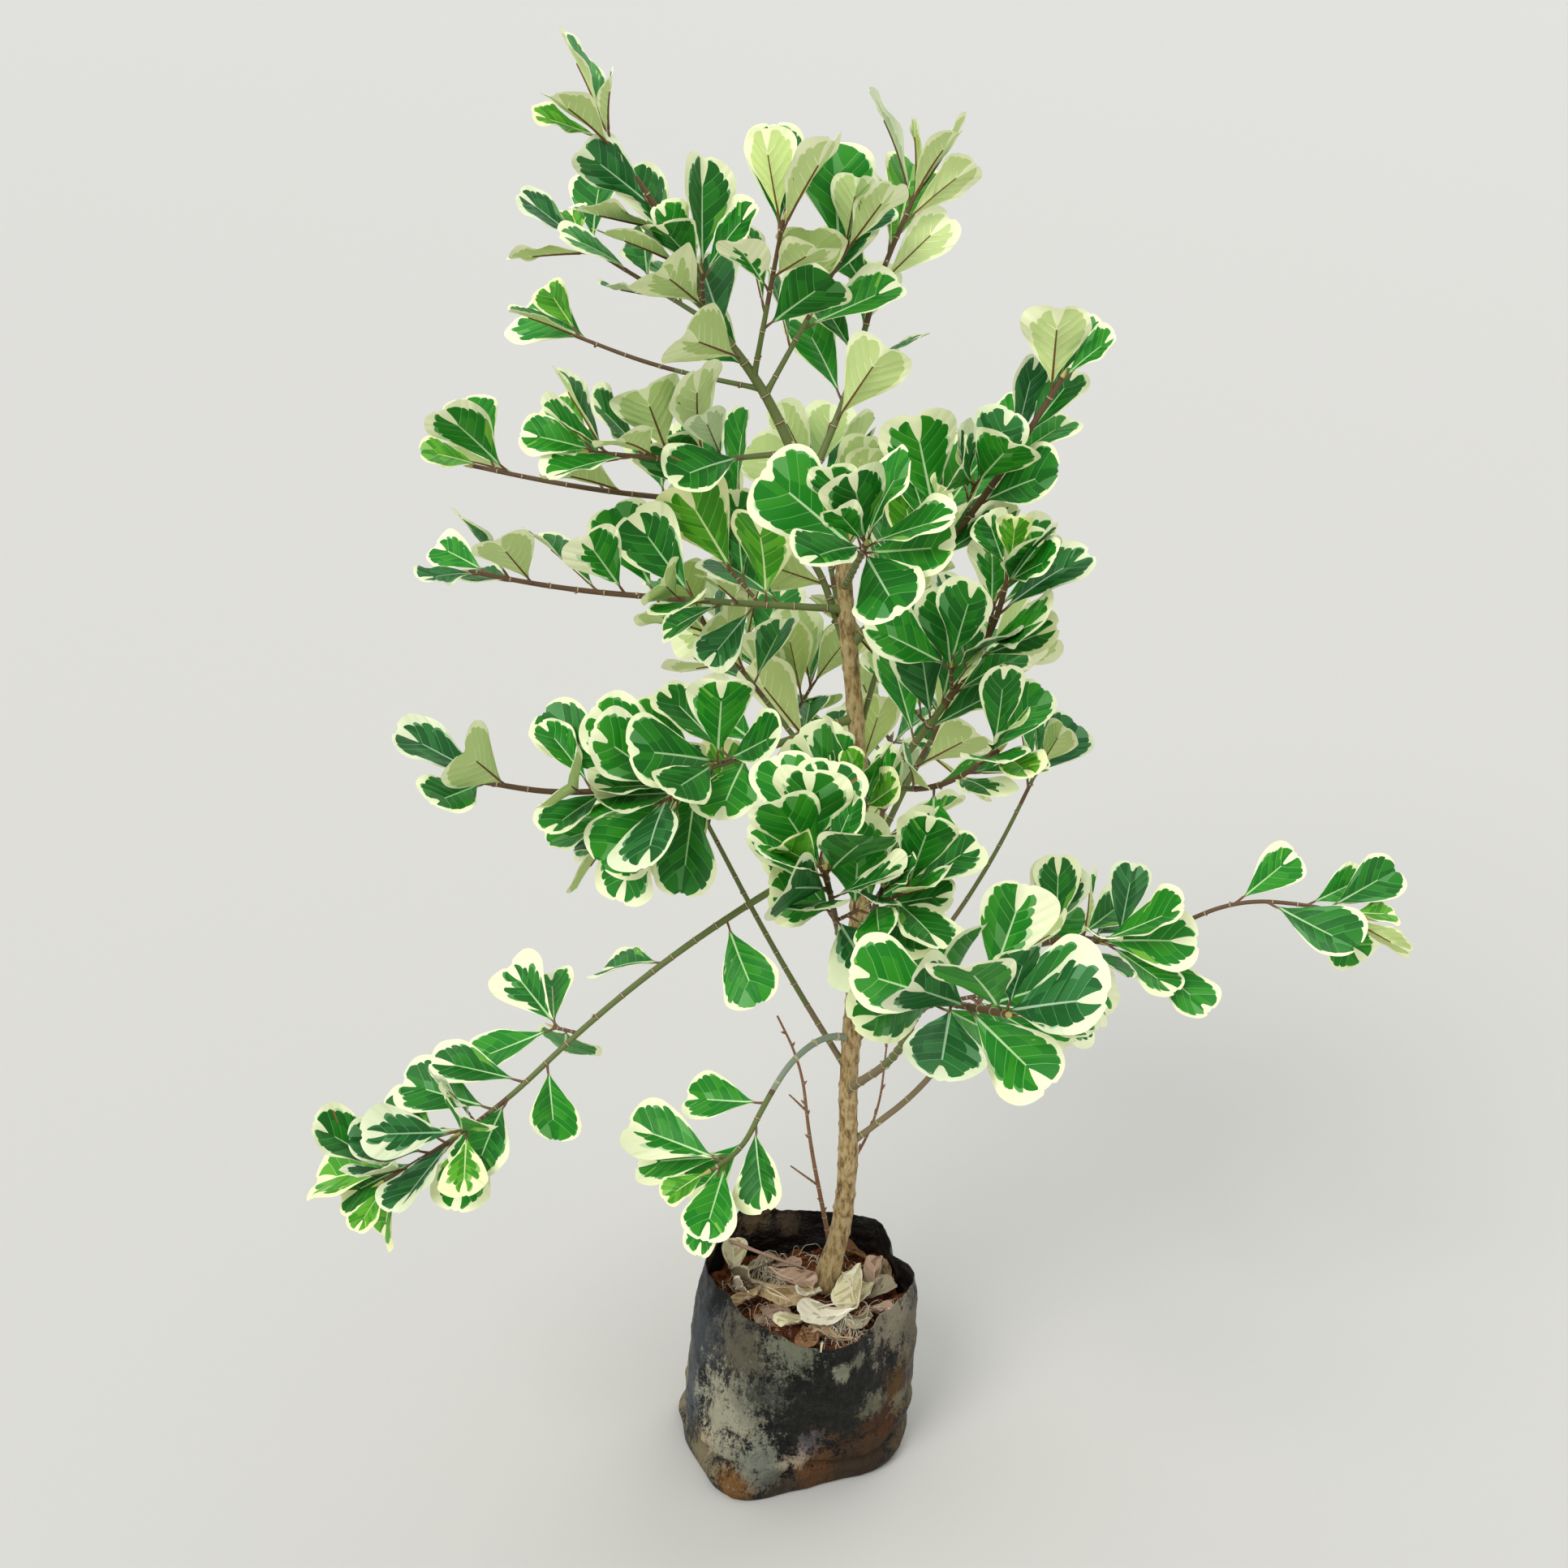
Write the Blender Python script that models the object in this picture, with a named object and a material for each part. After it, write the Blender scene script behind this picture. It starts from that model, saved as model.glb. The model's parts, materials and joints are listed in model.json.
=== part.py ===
"""Potted variegated triangle fig: a grow bag of soil, one trunk, its boughs and their leaf masses.

Metres, +Z up. The origin is the centre of the bag's flat underside, and the plant is seen from -Y.
Every limb is walked from named stretches, and every leaf mass is grown from its limb by a seeded rule.
"""

import math
import random
from dataclasses import dataclass

import bmesh
import bpy
from mathutils import Matrix, Vector
from mathutils.bvhtree import BVHTree

UP = Vector((0.0, 0.0, 1.0))
GAP = 0.0003

# Grow bag: radii and heights every 30 degrees round it, from +X by +Y
BAG_BASE_RADII = (0.086, 0.084, 0.091, 0.081, 0.086, 0.094, 0.085, 0.082, 0.090, 0.070, 0.066, 0.080)
BAG_RIM_RADII = (0.092, 0.089, 0.085, 0.075, 0.082, 0.071, 0.066, 0.056, 0.056, 0.066, 0.078, 0.080)
BAG_RIM_HEIGHTS = (0.144, 0.150, 0.152, 0.154, 0.155, 0.153, 0.149, 0.142, 0.135, 0.128, 0.129, 0.137)
BAG_WALL = 0.0022
BAG_FLOOR = 0.003
BAG_BULGE = 0.004
BAG_FOOT = 0.004
BAG_SIDES = 36
BAG_LEVELS = 5
TAB_BEARING = 112.0
TAB_HALF_WIDTH = 13.0
TAB_HEIGHT = 0.008

# Soil: a low mound with a level seat under the trunk's foot
SOIL_LEVEL = 0.120
SOIL_EDGE_DROP = 0.006
SOIL_LUMP = 0.0025
SOIL_SEAT = 0.019
SOIL_RINGS = 5
SOIL_CLEARANCE = 0.0014

# Trunk, from the soil up to its fork
TRUNK_FOOT = (0.0264, 0.021)
TRUNK_STRETCHES = ((0.006, 0, 90), (0.036, 0, 74), (0.070, 0, 85.5), (0.065, 180, 88.5), (0.050, 0, 86.5),
                   (0.210, 0, 89), (0.095, 180, 84), (0.055, 180, 86))
TRUNK_ROOT_RADIUS = 0.0080
TRUNK_TIP_RADIUS = 0.0054
FLARE_RADIUS = 0.0045
FLARE_HEIGHT = 0.014
TRUNK_SIDES = 12

# Leaves
PETIOLE = 0.013
PETIOLE_RADIUS = 0.0009
BLADE_THICKNESS = 0.0016
BLADE_OUTLINE = ((0.66, -1.0), (0.98, -0.56), (0.98, 0.56), (0.66, 1.0))
SPIRAL = 137.5
STEEP = 45.0
TRIES = 10
SPUR_RADIUS = 0.0011
SPUR_LEAVES = (0.50, 0.80, 0.96, 1.0)
STEP = 0.004
RING_SPACING = 0.036
RING_TURN = 11.0
BOUGH_SIDES = 8
TWIG_SIDES = 5
CLEARANCE = 0.0007


@dataclass(frozen=True)
class Limb:
    """One limb: where it leaves its parent, how it runs, and what it carries.

    stretches are (length, bearing, rise): bearing 0 is +X, 90 is +Y, away from the viewer, and rise is
    the angle above level. The limb is bare up to bare, where its bough ends and its leaf mass begins.
    zones are (from, to, leaves, seed), measured along the limb. spurs are side twigs, (at, seed) each.
    """

    name: str
    parent: str
    height: float
    stretches: tuple
    root: float
    tip: float
    bare: float
    size: float
    lift: float
    zones: tuple
    spurs: tuple = ()


LIMBS = (
    Limb("leader", "trunk", 0.0,
         ((0.008, 180, 86), (0.036, 187, 48), (0.074, 188, 67), (0.068, 187, 51), (0.047, 190, 70),
          (0.070, 187, 53)),
         0.0046, 0.0015, 0.100, 0.058, 0.5,
         ((0.11, 0.16, 4, 78), (0.16, 0.20, 3, 59), (0.20, 0.25, 4, 58), (0.29, 0.30, 4, 5)),
         ((0.18, 88), (0.23, 23))),
    Limb("left_arch", "trunk", 0.332,
         ((0.020, 214, 22), (0.032, 220, -12), (0.042, 232, -34), (0.042, 237, -40), (0.024, 222, -10)),
         0.0027, 0.0017, 0.085, 0.058, -0.2,
         ((0.09, 0.13, 3, 85), (0.14, 0.157, 5, 32))),
    Limb("left_steep", "trunk", 0.303,
         ((0.080, 169, 59), (0.170, 168, 63)),
         0.0024, 0.0015, 0.205, 0.050, 0.1,
         ((0.21, 0.25, 5, 97),)),
    Limb("left_low", "trunk", 0.488,
         ((0.100, 206, -20), (0.120, 208, -27), (0.110, 212, -34), (0.070, 209, -20)),
         0.0029, 0.0016, 0.095, 0.058, 0.0,
         ((0.10, 0.18, 2, 110), (0.26, 0.31, 3, 69), (0.31, 0.35, 4, 51), (0.35, 0.39, 4, 85),
          (0.385, 0.397, 4, 65)), ((0.24, 104), (0.32, 106))),
    Limb("left_middle", "trunk", 0.579,
         ((0.060, 201, -12), (0.080, 202, -12), (0.070, 202, 0), (0.070, 203, 18)),
         0.0030, 0.0017, 0.060, 0.061, 0.5,
         ((0.065, 0.11, 4, 100), (0.11, 0.15, 4, 55), (0.16, 0.21, 4, 11), (0.25, 0.278, 4, 86)),
         ((0.09, 119), (0.13, 45))),
    Limb("left_hanging", "trunk", 0.540,
         ((0.060, 205, 9), (0.060, 207, 0), (0.060, 210, -14)),
         0.0024, 0.0015, 0.110, 0.062, -0.6,
         ((0.12, 0.15, 4, 81), (0.16, 0.178, 4, 110))),
    Limb("left_inner", "trunk", 0.500,
         ((0.100, 160, 50), (0.080, 165, 50)),
         0.0024, 0.0015, 0.115, 0.056, 0.1,
         ((0.12, 0.15, 4, 66), (0.16, 0.178, 4, 82))),
    Limb("left_upper", "trunk", 0.656,
         ((0.120, 193, 7), (0.080, 194, 9), (0.055, 195, 15)),
         0.0026, 0.0015, 0.035, 0.058, 0.6,
         ((0.04, 0.08, 4, 65), (0.08, 0.12, 4, 55), (0.12, 0.18, 3, 51), (0.21, 0.252, 5, 122)),
         ((0.06, 66),)),
    Limb("left_high", "trunk", 0.619,
         ((0.100, 158, 70), (0.030, 176, 28), (0.075, 178, 3), (0.075, 178, 9), (0.035, 178, 12)),
         0.0027, 0.0015, 0.120, 0.058, 0.3,
         ((0.13, 0.17, 3, 70), (0.18, 0.24, 3, 85), (0.28, 0.312, 4, 47))),
    Limb("left_short", "leader", 0.764,
         ((0.060, 193, -3), (0.075, 193, 8)),
         0.0021, 0.0014, 0.0, 0.055, 0.9,
         ((0.02, 0.07, 3, 40), (0.08, 0.11, 4, 55), (0.12, 0.133, 4, 22))),
    Limb("left_thin", "leader", 0.806,
         ((0.080, 166, 9), (0.050, 165, 18)),
         0.0018, 0.0012, 0.0, 0.058, 0.3,
         ((0.115, 0.129, 3, 79),)),
    Limb("top_left", "leader", 0.847,
         ((0.105, 162, 28),),
         0.0017, 0.0012, 0.0, 0.052, 0.5,
         ((0.02, 0.07, 4, 36), (0.09, 0.104, 4, 94))),
    Limb("top_right", "leader", 0.802,
         ((0.110, 11, 60),),
         0.0020, 0.0013, 0.0, 0.055, 0.5,
         ((0.03, 0.08, 4, 25), (0.095, 0.109, 4, 47))),
    Limb("top_middle", "leader", 0.814,
         ((0.115, 292, 64),),
         0.0020, 0.0013, 0.0, 0.058, 0.7,
         ((0.03, 0.08, 4, 5), (0.10, 0.114, 4, 13))),
    Limb("right_crown", "leader", 0.745,
         ((0.070, 30, 63), (0.060, 40, 72), (0.070, 28, 63)),
         0.0028, 0.0015, 0.030, 0.058, 0.6,
         ((0.035, 0.09, 4, 57), (0.09, 0.14, 4, 53), (0.15, 0.18, 3, 90), (0.185, 0.199, 4, 22)),
         ((0.12, 51),)),
    Limb("front_crown", "trunk", 0.672,
         ((0.170, 273, 24),),
         0.0026, 0.0020, 0.125, 0.064, 0.4,
         ((0.13, 0.15, 4, 76), (0.155, 0.169, 5, 82))),
    Limb("right_upper", "trunk", 0.630,
         ((0.080, 345, 48), (0.080, 342, 54), (0.075, 336, 60)),
         0.0033, 0.0019, 0.050, 0.059, 0.6,
         ((0.055, 0.10, 4, 128), (0.10, 0.14, 4, 104), (0.15, 0.19, 4, 112), (0.22, 0.234, 3, 32)),
         ((0.08, 13), (0.12, 122))),
    Limb("right_inner", "trunk", 0.563,
         ((0.130, 55, 61),),
         0.0022, 0.0015, 0.0, 0.055, 0.5,
         ((0.05, 0.10, 4, 36), (0.11, 0.129, 4, 122))),
    Limb("right_middle", "trunk", 0.510,
         ((0.120, 329, 54), (0.060, 322, 58), (0.050, 292, 68)),
         0.0031, 0.0017, 0.060, 0.058, 0.4,
         ((0.065, 0.11, 4, 13), (0.11, 0.16, 4, 35), (0.16, 0.20, 3, 126), (0.21, 0.229, 4, 84)),
         ((0.12, 3), (0.17, 71))),
    Limb("right_short", "trunk", 0.532,
         ((0.090, 310, 10), (0.045, 330, 42)),
         0.0024, 0.0016, 0.0, 0.058, 0.4,
         ((0.05, 0.08, 3, 99), (0.09, 0.12, 3, 88), (0.12, 0.134, 4, 34))),
    Limb("right_rising", "trunk", 0.323,
         ((0.170, 27, 45), (0.085, 36, 57)),
         0.0022, 0.0014, 0.200, 0.050, 0.2,
         ((0.23, 0.253, 4, 47),)),
    Limb("right_long", "trunk", 0.243,
         ((0.085, 357, 42), (0.075, 354, 66), (0.042, 356, 56), (0.040, 357, 22), (0.052, 357, -18),
          (0.020, 356, 36), (0.056, 357, 26), (0.040, 357, -3), (0.045, 357, -12)),
         0.0025, 0.0013, 0.185, 0.056, 0.3,
         ((0.19, 0.22, 3, 103), (0.22, 0.25, 4, 107), (0.25, 0.29, 4, 26), (0.35, 0.40, 2, 17),
          (0.41, 0.444, 5, 130)), ((0.24, 2),)),
    Limb("front_right", "trunk", 0.290,
         ((0.115, 290, 38), (0.130, 275, 46), (0.100, 286, 22), (0.050, 285, 22)),
         0.0032, 0.0021, 0.245, 0.068, 0.1,
         ((0.25, 0.30, 4, 68), (0.30, 0.35, 4, 66), (0.38, 0.394, 4, 95)), ((0.28, 124),)),
    Limb("front_low", "trunk", 0.357,
         ((0.100, 262, 46), (0.160, 262, 45)),
         0.0030, 0.0018, 0.150, 0.062, 0.3,
         ((0.16, 0.19, 3, 108), (0.20, 0.23, 4, 61), (0.245, 0.259, 4, 1)), ((0.17, 105), (0.22, 85))),
    Limb("front_fork", "trunk", 0.405,
         ((0.100, 272, 33), (0.115, 274, 37)),
         0.0027, 0.0017, 0.125, 0.060, 0.4,
         ((0.13, 0.17, 3, 105), (0.17, 0.20, 3, 71), (0.20, 0.214, 4, 126)), ((0.17, 105),)),
    Limb("front_middle", "trunk", 0.500,
         ((0.085, 268, 28),),
         0.0024, 0.0016, 0.0, 0.056, 0.9,
         ((0.04, 0.07, 3, 76), (0.07, 0.084, 5, 16))),
    Limb("back_low", "trunk", 0.395,
         ((0.120, 78, 32), (0.120, 84, 14)),
         0.0028, 0.0015, 0.090, 0.058, 0.3,
         ((0.10, 0.16, 4, 89), (0.16, 0.22, 4, 9), (0.225, 0.239, 4, 108)), ((0.14, 34),)),
    Limb("back_left", "trunk", 0.470,
         ((0.130, 112, 34), (0.110, 116, 18)),
         0.0027, 0.0015, 0.090, 0.058, 0.3,
         ((0.10, 0.16, 4, 42), (0.16, 0.22, 4, 52), (0.225, 0.239, 4, 69)), ((0.14, 72),)),
    Limb("back_right", "trunk", 0.455,
         ((0.130, 60, 36), (0.110, 60, 20)),
         0.0027, 0.0015, 0.090, 0.058, 0.3,
         ((0.10, 0.16, 4, 55), (0.16, 0.22, 4, 129), (0.225, 0.239, 4, 127)), ((0.14, 50),)),
    Limb("back_upper", "trunk", 0.600,
         ((0.120, 100, 38), (0.090, 96, 24)),
         0.0025, 0.0015, 0.070, 0.058, 0.4,
         ((0.08, 0.13, 4, 69), (0.13, 0.19, 4, 106), (0.195, 0.209, 4, 3)), ((0.12, 104),)),
)

# Dead sucker beside the trunk's foot, with its two side twigs
SUCKER_FOOT = (0.029, 0.044)
SUCKER_STRETCHES = ((0.047, 180, 80), (0.057, 180, 80), (0.077, 180, 85), (0.034, 180, 66))
SUCKER_RADII = (0.0021, 0.0008)
SUCKER_TWIGS = ((0.075, 180, 39, 0.027), (0.140, 180, 47, 0.019))
DRY_TWIG = ("trunk", 0.222, ((0.024, 40, 45), (0.095, 30, 84)), 0.0012, 0.0006)


class Course:
    """A centreline walked along stretches, its direction turning smoothly from one to the next."""

    def __init__(self, start, stretches):
        self.length = sum(stretch[0] for stretch in stretches)
        middles = []
        done = 0.0
        for length, bearing, rise in stretches:
            middles.append((done + length / 2, heading(bearing, rise)))
            done += length
        steps = max(2, math.ceil(self.length / STEP))
        self.step = self.length / steps
        self.tangents = [turned(middles, i * self.step) for i in range(steps + 1)]
        self.points = [Vector(start)]
        self.sides = [self.tangents[0].orthogonal().normalized()]
        for before, after in zip(self.tangents, self.tangents[1:]):
            self.points.append(self.points[-1] + (before + after) * (self.step / 2))
            side = self.sides[-1]
            self.sides.append((side - after * side.dot(after)).normalized())

    def place(self, distance):
        """The step that this distance falls in, and how far through it."""
        steps = min(max(distance / self.step, 0.0), len(self.points) - 1.001)
        return int(steps), steps - int(steps)

    def at(self, distance):
        """The point and direction at this distance along the course."""
        i, share = self.place(distance)
        tangent = self.tangents[i].lerp(self.tangents[i + 1], share).normalized()
        return self.points[i].lerp(self.points[i + 1], share), tangent

    def spokes(self, distance, count):
        """Unit vectors evenly round the course at this distance, carried along it without a twist."""
        i, share = self.place(distance)
        tangent = self.at(distance)[1]
        side = self.sides[i].lerp(self.sides[i + 1], share)
        across = (side - tangent * side.dot(tangent)).normalized()
        beside = tangent.cross(across)
        turns = [2 * math.pi * k / count for k in range(count)]
        return [across * math.cos(turn) + beside * math.sin(turn) for turn in turns]

    def reach(self, height):
        """The distance along the course at which it passes this height."""
        for i, point in enumerate(self.points[1:], 1):
            if point.z >= height:
                below = self.points[i - 1].z
                return (i - 1 + (height - below) / (point.z - below)) * self.step
        return self.length


def heading(bearing, rise):
    """The unit vector with this bearing and this rise above level, in degrees."""
    flat = math.cos(math.radians(rise))
    angle = math.radians(bearing)
    return Vector((flat * math.cos(angle), flat * math.sin(angle), math.sin(math.radians(rise))))


def turned(middles, distance):
    """The direction at a distance, blended between the middles of the stretches on either side."""
    for (near, first), (far, second) in zip(middles, middles[1:]):
        if distance < far:
            share = min(max((distance - near) / (far - near), 0.0), 1.0)
            return first.lerp(second, share).normalized()
    return middles[-1][1].copy()


def tapered(limb, length, distance):
    """The limb's radius at this distance along it."""
    return limb.root + (limb.tip - limb.root) * (distance / length) ** 0.85


def tube(course, distances, radius, sides):
    """Points and faces of a closed tube with a ring at each distance. radius is a function of distance."""
    rings = []
    for distance in distances:
        centre = course.at(distance)[0]
        rings.append([centre + spoke * radius(distance) for spoke in course.spokes(distance, sides)])
    return skinned(rings)


def even(first, last, count):
    """Distances that part this stretch evenly into count pieces."""
    return [first + (last - first) * i / count for i in range(count + 1)]


@dataclass
class Leaf:
    """One leaf: the point inside its twig that it grows from, its direction, its upper side and its sizes."""

    root: Vector
    direction: Vector
    normal: Vector
    length: float
    width: float
    cup: float
    bend: float

    def point(self, along, across, lift=0.0):
        """A point of the blade, from its foot at 0 to its top at 1, and from edge to edge at -1 and 1."""
        foot = self.root + self.direction * PETIOLE
        beside = self.direction.cross(self.normal)
        side = across * self.width / 2
        raised = self.cup * abs(side) - self.bend * self.length * along * along + lift
        return foot + self.direction * (along * self.length) + beside * side + self.normal * raised

    def mesh(self, fat=0.0, whole=True):
        """The leaf as a closed wedge on a three-sided stalk, or its blade alone, grown all round by fat."""
        beside = self.direction.cross(self.normal)
        thin = PETIOLE_RADIUS + fat
        half = BLADE_THICKNESS / 2 + fat
        wide = 1.0 + 2 * fat / self.width
        corners = (-beside * thin, -self.normal * thin, beside * thin)
        foot = self.root + self.direction * PETIOLE
        points = [foot + corner for corner in corners]
        points += [self.point(along, across * wide) for along, across in BLADE_OUTLINE]
        points += [self.point(0.58, 0.0, half), self.point(0.58, 0.0, -half)]
        faces = fan(7, (0, 3, 4, 5, 6, 2)) + fan(8, (1, 2, 6, 5, 4, 3, 0))
        if not whole:
            return points, faces + [(0, 1, 2)]
        points += [self.root + corner for corner in corners]
        return points, faces + [(9, 10, 1, 0), (10, 11, 2, 1), (11, 9, 0, 2), (11, 10, 9)]


def fan(hub, rim):
    """Triangles from a hub to each side of a closed rim."""
    return [(hub, b, a) for a, b in zip(rim, rim[1:] + rim[:1])]


def drawn_leaf(rng, point, tangent, turn, opening, limb):
    """A leaf at a point of its twig. turn is its bearing round the twig and opening its angle from it."""
    across = tangent.cross(UP)
    if across.length < 0.25:
        across = tangent.cross(Vector((0.0, 1.0, 0.0)))
    across.normalize()
    above = across.cross(tangent)
    spoke = across * math.cos(turn) + above * math.sin(turn)
    direction = tangent * math.cos(opening) + spoke * math.sin(opening) + UP * limb.lift
    direction += Vector([rng.uniform(-0.3, 0.3) for _ in range(3)])
    direction.normalize()
    face = UP - spoke * 0.25 + tangent * 0.15
    normal = (face - direction * face.dot(direction)).normalized()
    normal.rotate(Matrix.Rotation(math.radians(rng.uniform(-55, 55)), 3, direction))
    length = limb.size * rng.uniform(0.80, 1.15)
    width = length * rng.uniform(0.60, 0.90)
    return Leaf(point, direction, normal, length, width, rng.uniform(0.08, 0.40), rng.uniform(-0.06, 0.20))


def zone_buds(limb, course, zone):
    """Where the leaves of one zone leave the limb: (rng, course, distance, turn, opening) each."""
    first, last, count, seed = zone
    steep = abs(course.at((first + last) / 2)[1].z) > math.sin(math.radians(STEEP))
    turn = random.Random(seed).uniform(0, 360)
    if not steep:
        turn = 180 * round(turn / 360) + random.Random(seed + 1).uniform(-25, 25)
    buds = []
    for i in range(count):
        rng = random.Random(seed * 64 + i)
        distance = first + (last - first) * (i + rng.uniform(0.3, 0.7)) / count
        opening = 62 - 26 * (distance / course.length) ** 4 + rng.uniform(-14, 14)
        buds.append((rng, course, distance, math.radians(turn), math.radians(opening)))
        turn += SPIRAL if steep else 180 + rng.uniform(-30, 30)
    return buds


def spur_course(course, spur):
    """The course of one side twig."""
    at, seed = spur
    rng = random.Random(seed)
    point, tangent = course.at(at)
    bearing = math.degrees(math.atan2(tangent.y, tangent.x)) + rng.choice((-1, 1)) * rng.uniform(35, 80)
    rise = math.degrees(math.asin(tangent.z)) + rng.uniform(-15, 35)
    return Course(point, ((rng.uniform(0.022, 0.036), bearing, min(rise, 80)),))


def spur_buds(course, seed):
    """Where the leaves of a side twig leave it, as in zone_buds."""
    turn = random.Random(seed + 1).uniform(0, 360)
    buds = []
    for i, share in enumerate(SPUR_LEAVES):
        rng = random.Random(seed * 64 + i)
        opening = math.radians(rng.uniform(22, 60))
        buds.append((rng, course, course.length * share, math.radians(turn), opening))
        turn += SPIRAL
    return buds


class Growth:
    """Grows the leaf masses one after another, each leaf and twig clear of every limb and every blade."""

    def __init__(self, courses, obstacles):
        self.courses = courses
        self.obstacles = obstacles
        self.leaves = []

    def clear(self, name, leaf):
        """Whether this leaf touches no limb and no blade, apart from its stalk's own twig."""
        whole = tree_of(*leaf.mesh(CLEARANCE))
        blade = tree_of(*leaf.mesh(CLEARANCE, whole=False))
        for owner, obstacle in self.obstacles:
            if (blade if owner == name else whole).overlap(obstacle):
                return False
        for owner, placed_whole, placed_blade, centre in self.leaves:
            if (centre - leaf.root).length > 0.2:
                continue
            if owner != name and whole.overlap(placed_whole):
                return False
            if owner == name and (blade.overlap(placed_whole) or whole.overlap(placed_blade)):
                return False
        return True

    def keep(self, name, leaf):
        """Remembers a leaf that has its place, so that later ones stay clear of it."""
        blade = tree_of(*leaf.mesh(whole=False))
        self.leaves.append((name, tree_of(*leaf.mesh()), blade, leaf.root.copy()))

    def leafed(self, limb, buds):
        """The leaves that find a clear place at these buds. One that finds none is left out."""
        leaves = []
        for rng, twig, distance, turn, opening in buds:
            point, tangent = twig.at(distance)
            for attempt in range(TRIES):
                wander = math.radians(attempt * 18 * (-1) ** attempt)
                leaf = drawn_leaf(rng, point, tangent, turn + wander, opening, limb)
                leaf.length *= 1 - 0.02 * attempt
                if self.clear(limb.name, leaf):
                    self.keep(limb.name, leaf)
                    leaves.append(leaf)
                    break
        return leaves

    def mass(self, limb):
        """The side twigs and leaves of one limb: (spur courses, leaves)."""
        course = self.courses[limb.name]
        spurs = []
        leaves = []
        for spur in limb.spurs:
            twig = spur_course(course, spur)
            twig_tree = tree_of(*tube(twig, (0.011, twig.length), lambda _: SPUR_RADIUS + CLEARANCE, 3))
            others = [obstacle for _, obstacle in self.obstacles] + [placed[1] for placed in self.leaves]
            if any(twig_tree.overlap(other) for other in others):
                continue
            spurs.append(twig)
            self.obstacles.append((limb.name, twig_tree))
            leaves += self.leafed(limb, spur_buds(twig, spur[1]))
        for zone in limb.zones:
            leaves += self.leafed(limb, zone_buds(limb, course, zone))
        return spurs, leaves


def tree_of(points, faces):
    """A search tree over these faces."""
    return BVHTree.FromPolygons(points, faces)


def compass(values, bearing):
    """A value at this bearing in degrees, on a smooth closed curve through values evenly round a circle."""
    place = (bearing % 360.0) / 360.0 * len(values)
    i = int(place)
    share = place - i
    a, b, c, d = (values[(i + k) % len(values)] for k in (-1, 0, 1, 2))
    return b + share * (c - a + share * (2 * a - 5 * b + 4 * c - d + share * (3 * (b - c) + d - a))) / 2


def bag_radius(bearing, share):
    """The bag's outer radius at a bearing, from its base at 0 to its rim at 1."""
    base = compass(BAG_BASE_RADII, bearing)
    rim = compass(BAG_RIM_RADII, bearing)
    return base + (rim - base) * share + BAG_BULGE * math.sin(math.pi * share)


def bag_ring(bearings, heights, inset):
    """One ring of points round the bag, inset from its outer surface. heights has one height per bearing."""
    ring = []
    for bearing, height in zip(bearings, heights):
        radius = bag_radius(bearing, height / rim_height(bearing)) - inset
        angle = math.radians(bearing)
        ring.append(Vector((radius * math.cos(angle), radius * math.sin(angle), height)))
    return ring


def rim_height(bearing):
    """The height of the bag's rim at a bearing, with the torn tab that stands up at its back."""
    away = (bearing - TAB_BEARING + 180) % 360 - 180
    tab = TAB_HEIGHT * max(0.0, 1 - (away / TAB_HALF_WIDTH) ** 2)
    return compass(BAG_RIM_HEIGHTS, bearing) + tab


def bag_rings(inset, floor):
    """Rings of points up the bag, from floor to rim, inset from its outer surface."""
    bearings = [360 * i / BAG_SIDES for i in range(BAG_SIDES)]
    rings = []
    for level in range(BAG_LEVELS + 1):
        share = level / BAG_LEVELS
        heights = [floor + (rim_height(bearing) - floor) * share for bearing in bearings]
        rings.append(bag_ring(bearings, heights, inset))
    return rings


def skinned(rings, bottom=True, top=True):
    """Points and faces of rings of equal count joined in order, with a flat face over each end."""
    count = len(rings[0])
    points = [point for ring in rings for point in ring]
    faces = []
    for level in range(len(rings) - 1):
        for i in range(count):
            a = level * count + i
            b = level * count + (i + 1) % count
            faces.append((a, b, b + count, a + count))
    if bottom:
        faces.append(tuple(reversed(range(count))))
    if top:
        faces.append(tuple(range(len(points) - count, len(points))))
    return points, faces


def soil_height(x, y):
    """The soil's surface: level round the trunk and the sucker, lumpy and lower towards the bag."""
    feet = (TRUNK_FOOT, SUCKER_FOOT)
    away = min(math.hypot(x - foot[0], y - foot[1]) for foot in feet)
    share = min(max((away - SOIL_SEAT) / 0.025, 0.0), 1.0)
    lumps = SOIL_LUMP * (math.sin(310 * x + 2 * math.sin(190 * y)) + math.cos(270 * y + 1.3))
    return SOIL_LEVEL + share * (lumps - SOIL_EDGE_DROP)


def built(name, points, faces, material, smooth=40.0):
    """A new object of these faces, turned outwards."""
    mesh = bpy.data.meshes.new(name)
    mesh.from_pydata([tuple(point) for point in points], [], faces)
    work = bmesh.new()
    work.from_mesh(mesh)
    bmesh.ops.recalc_face_normals(work, faces=work.faces)
    work.to_mesh(mesh)
    work.free()
    finish(mesh, material, smooth)
    obj = bpy.data.objects.new(name, mesh)
    bpy.context.scene.collection.objects.link(obj)
    return obj


def finish(mesh, material, smooth):
    """Gives a mesh its material and shades its round parts smooth."""
    mesh.materials.clear()
    mesh.materials.append(material)
    if smooth:
        mesh.shade_smooth()
        mesh.set_sharp_from_angle(angle=math.radians(smooth))


def material(name, colour, roughness):
    """A plain material of this colour."""
    made = bpy.data.materials.new(name)
    made.use_nodes = True
    shader = made.node_tree.nodes["Principled BSDF"]
    shader.inputs["Base Color"].default_value = (*colour, 1.0)
    shader.inputs["Roughness"].default_value = roughness
    shader.inputs["Metallic"].default_value = 0.0
    return made


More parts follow.
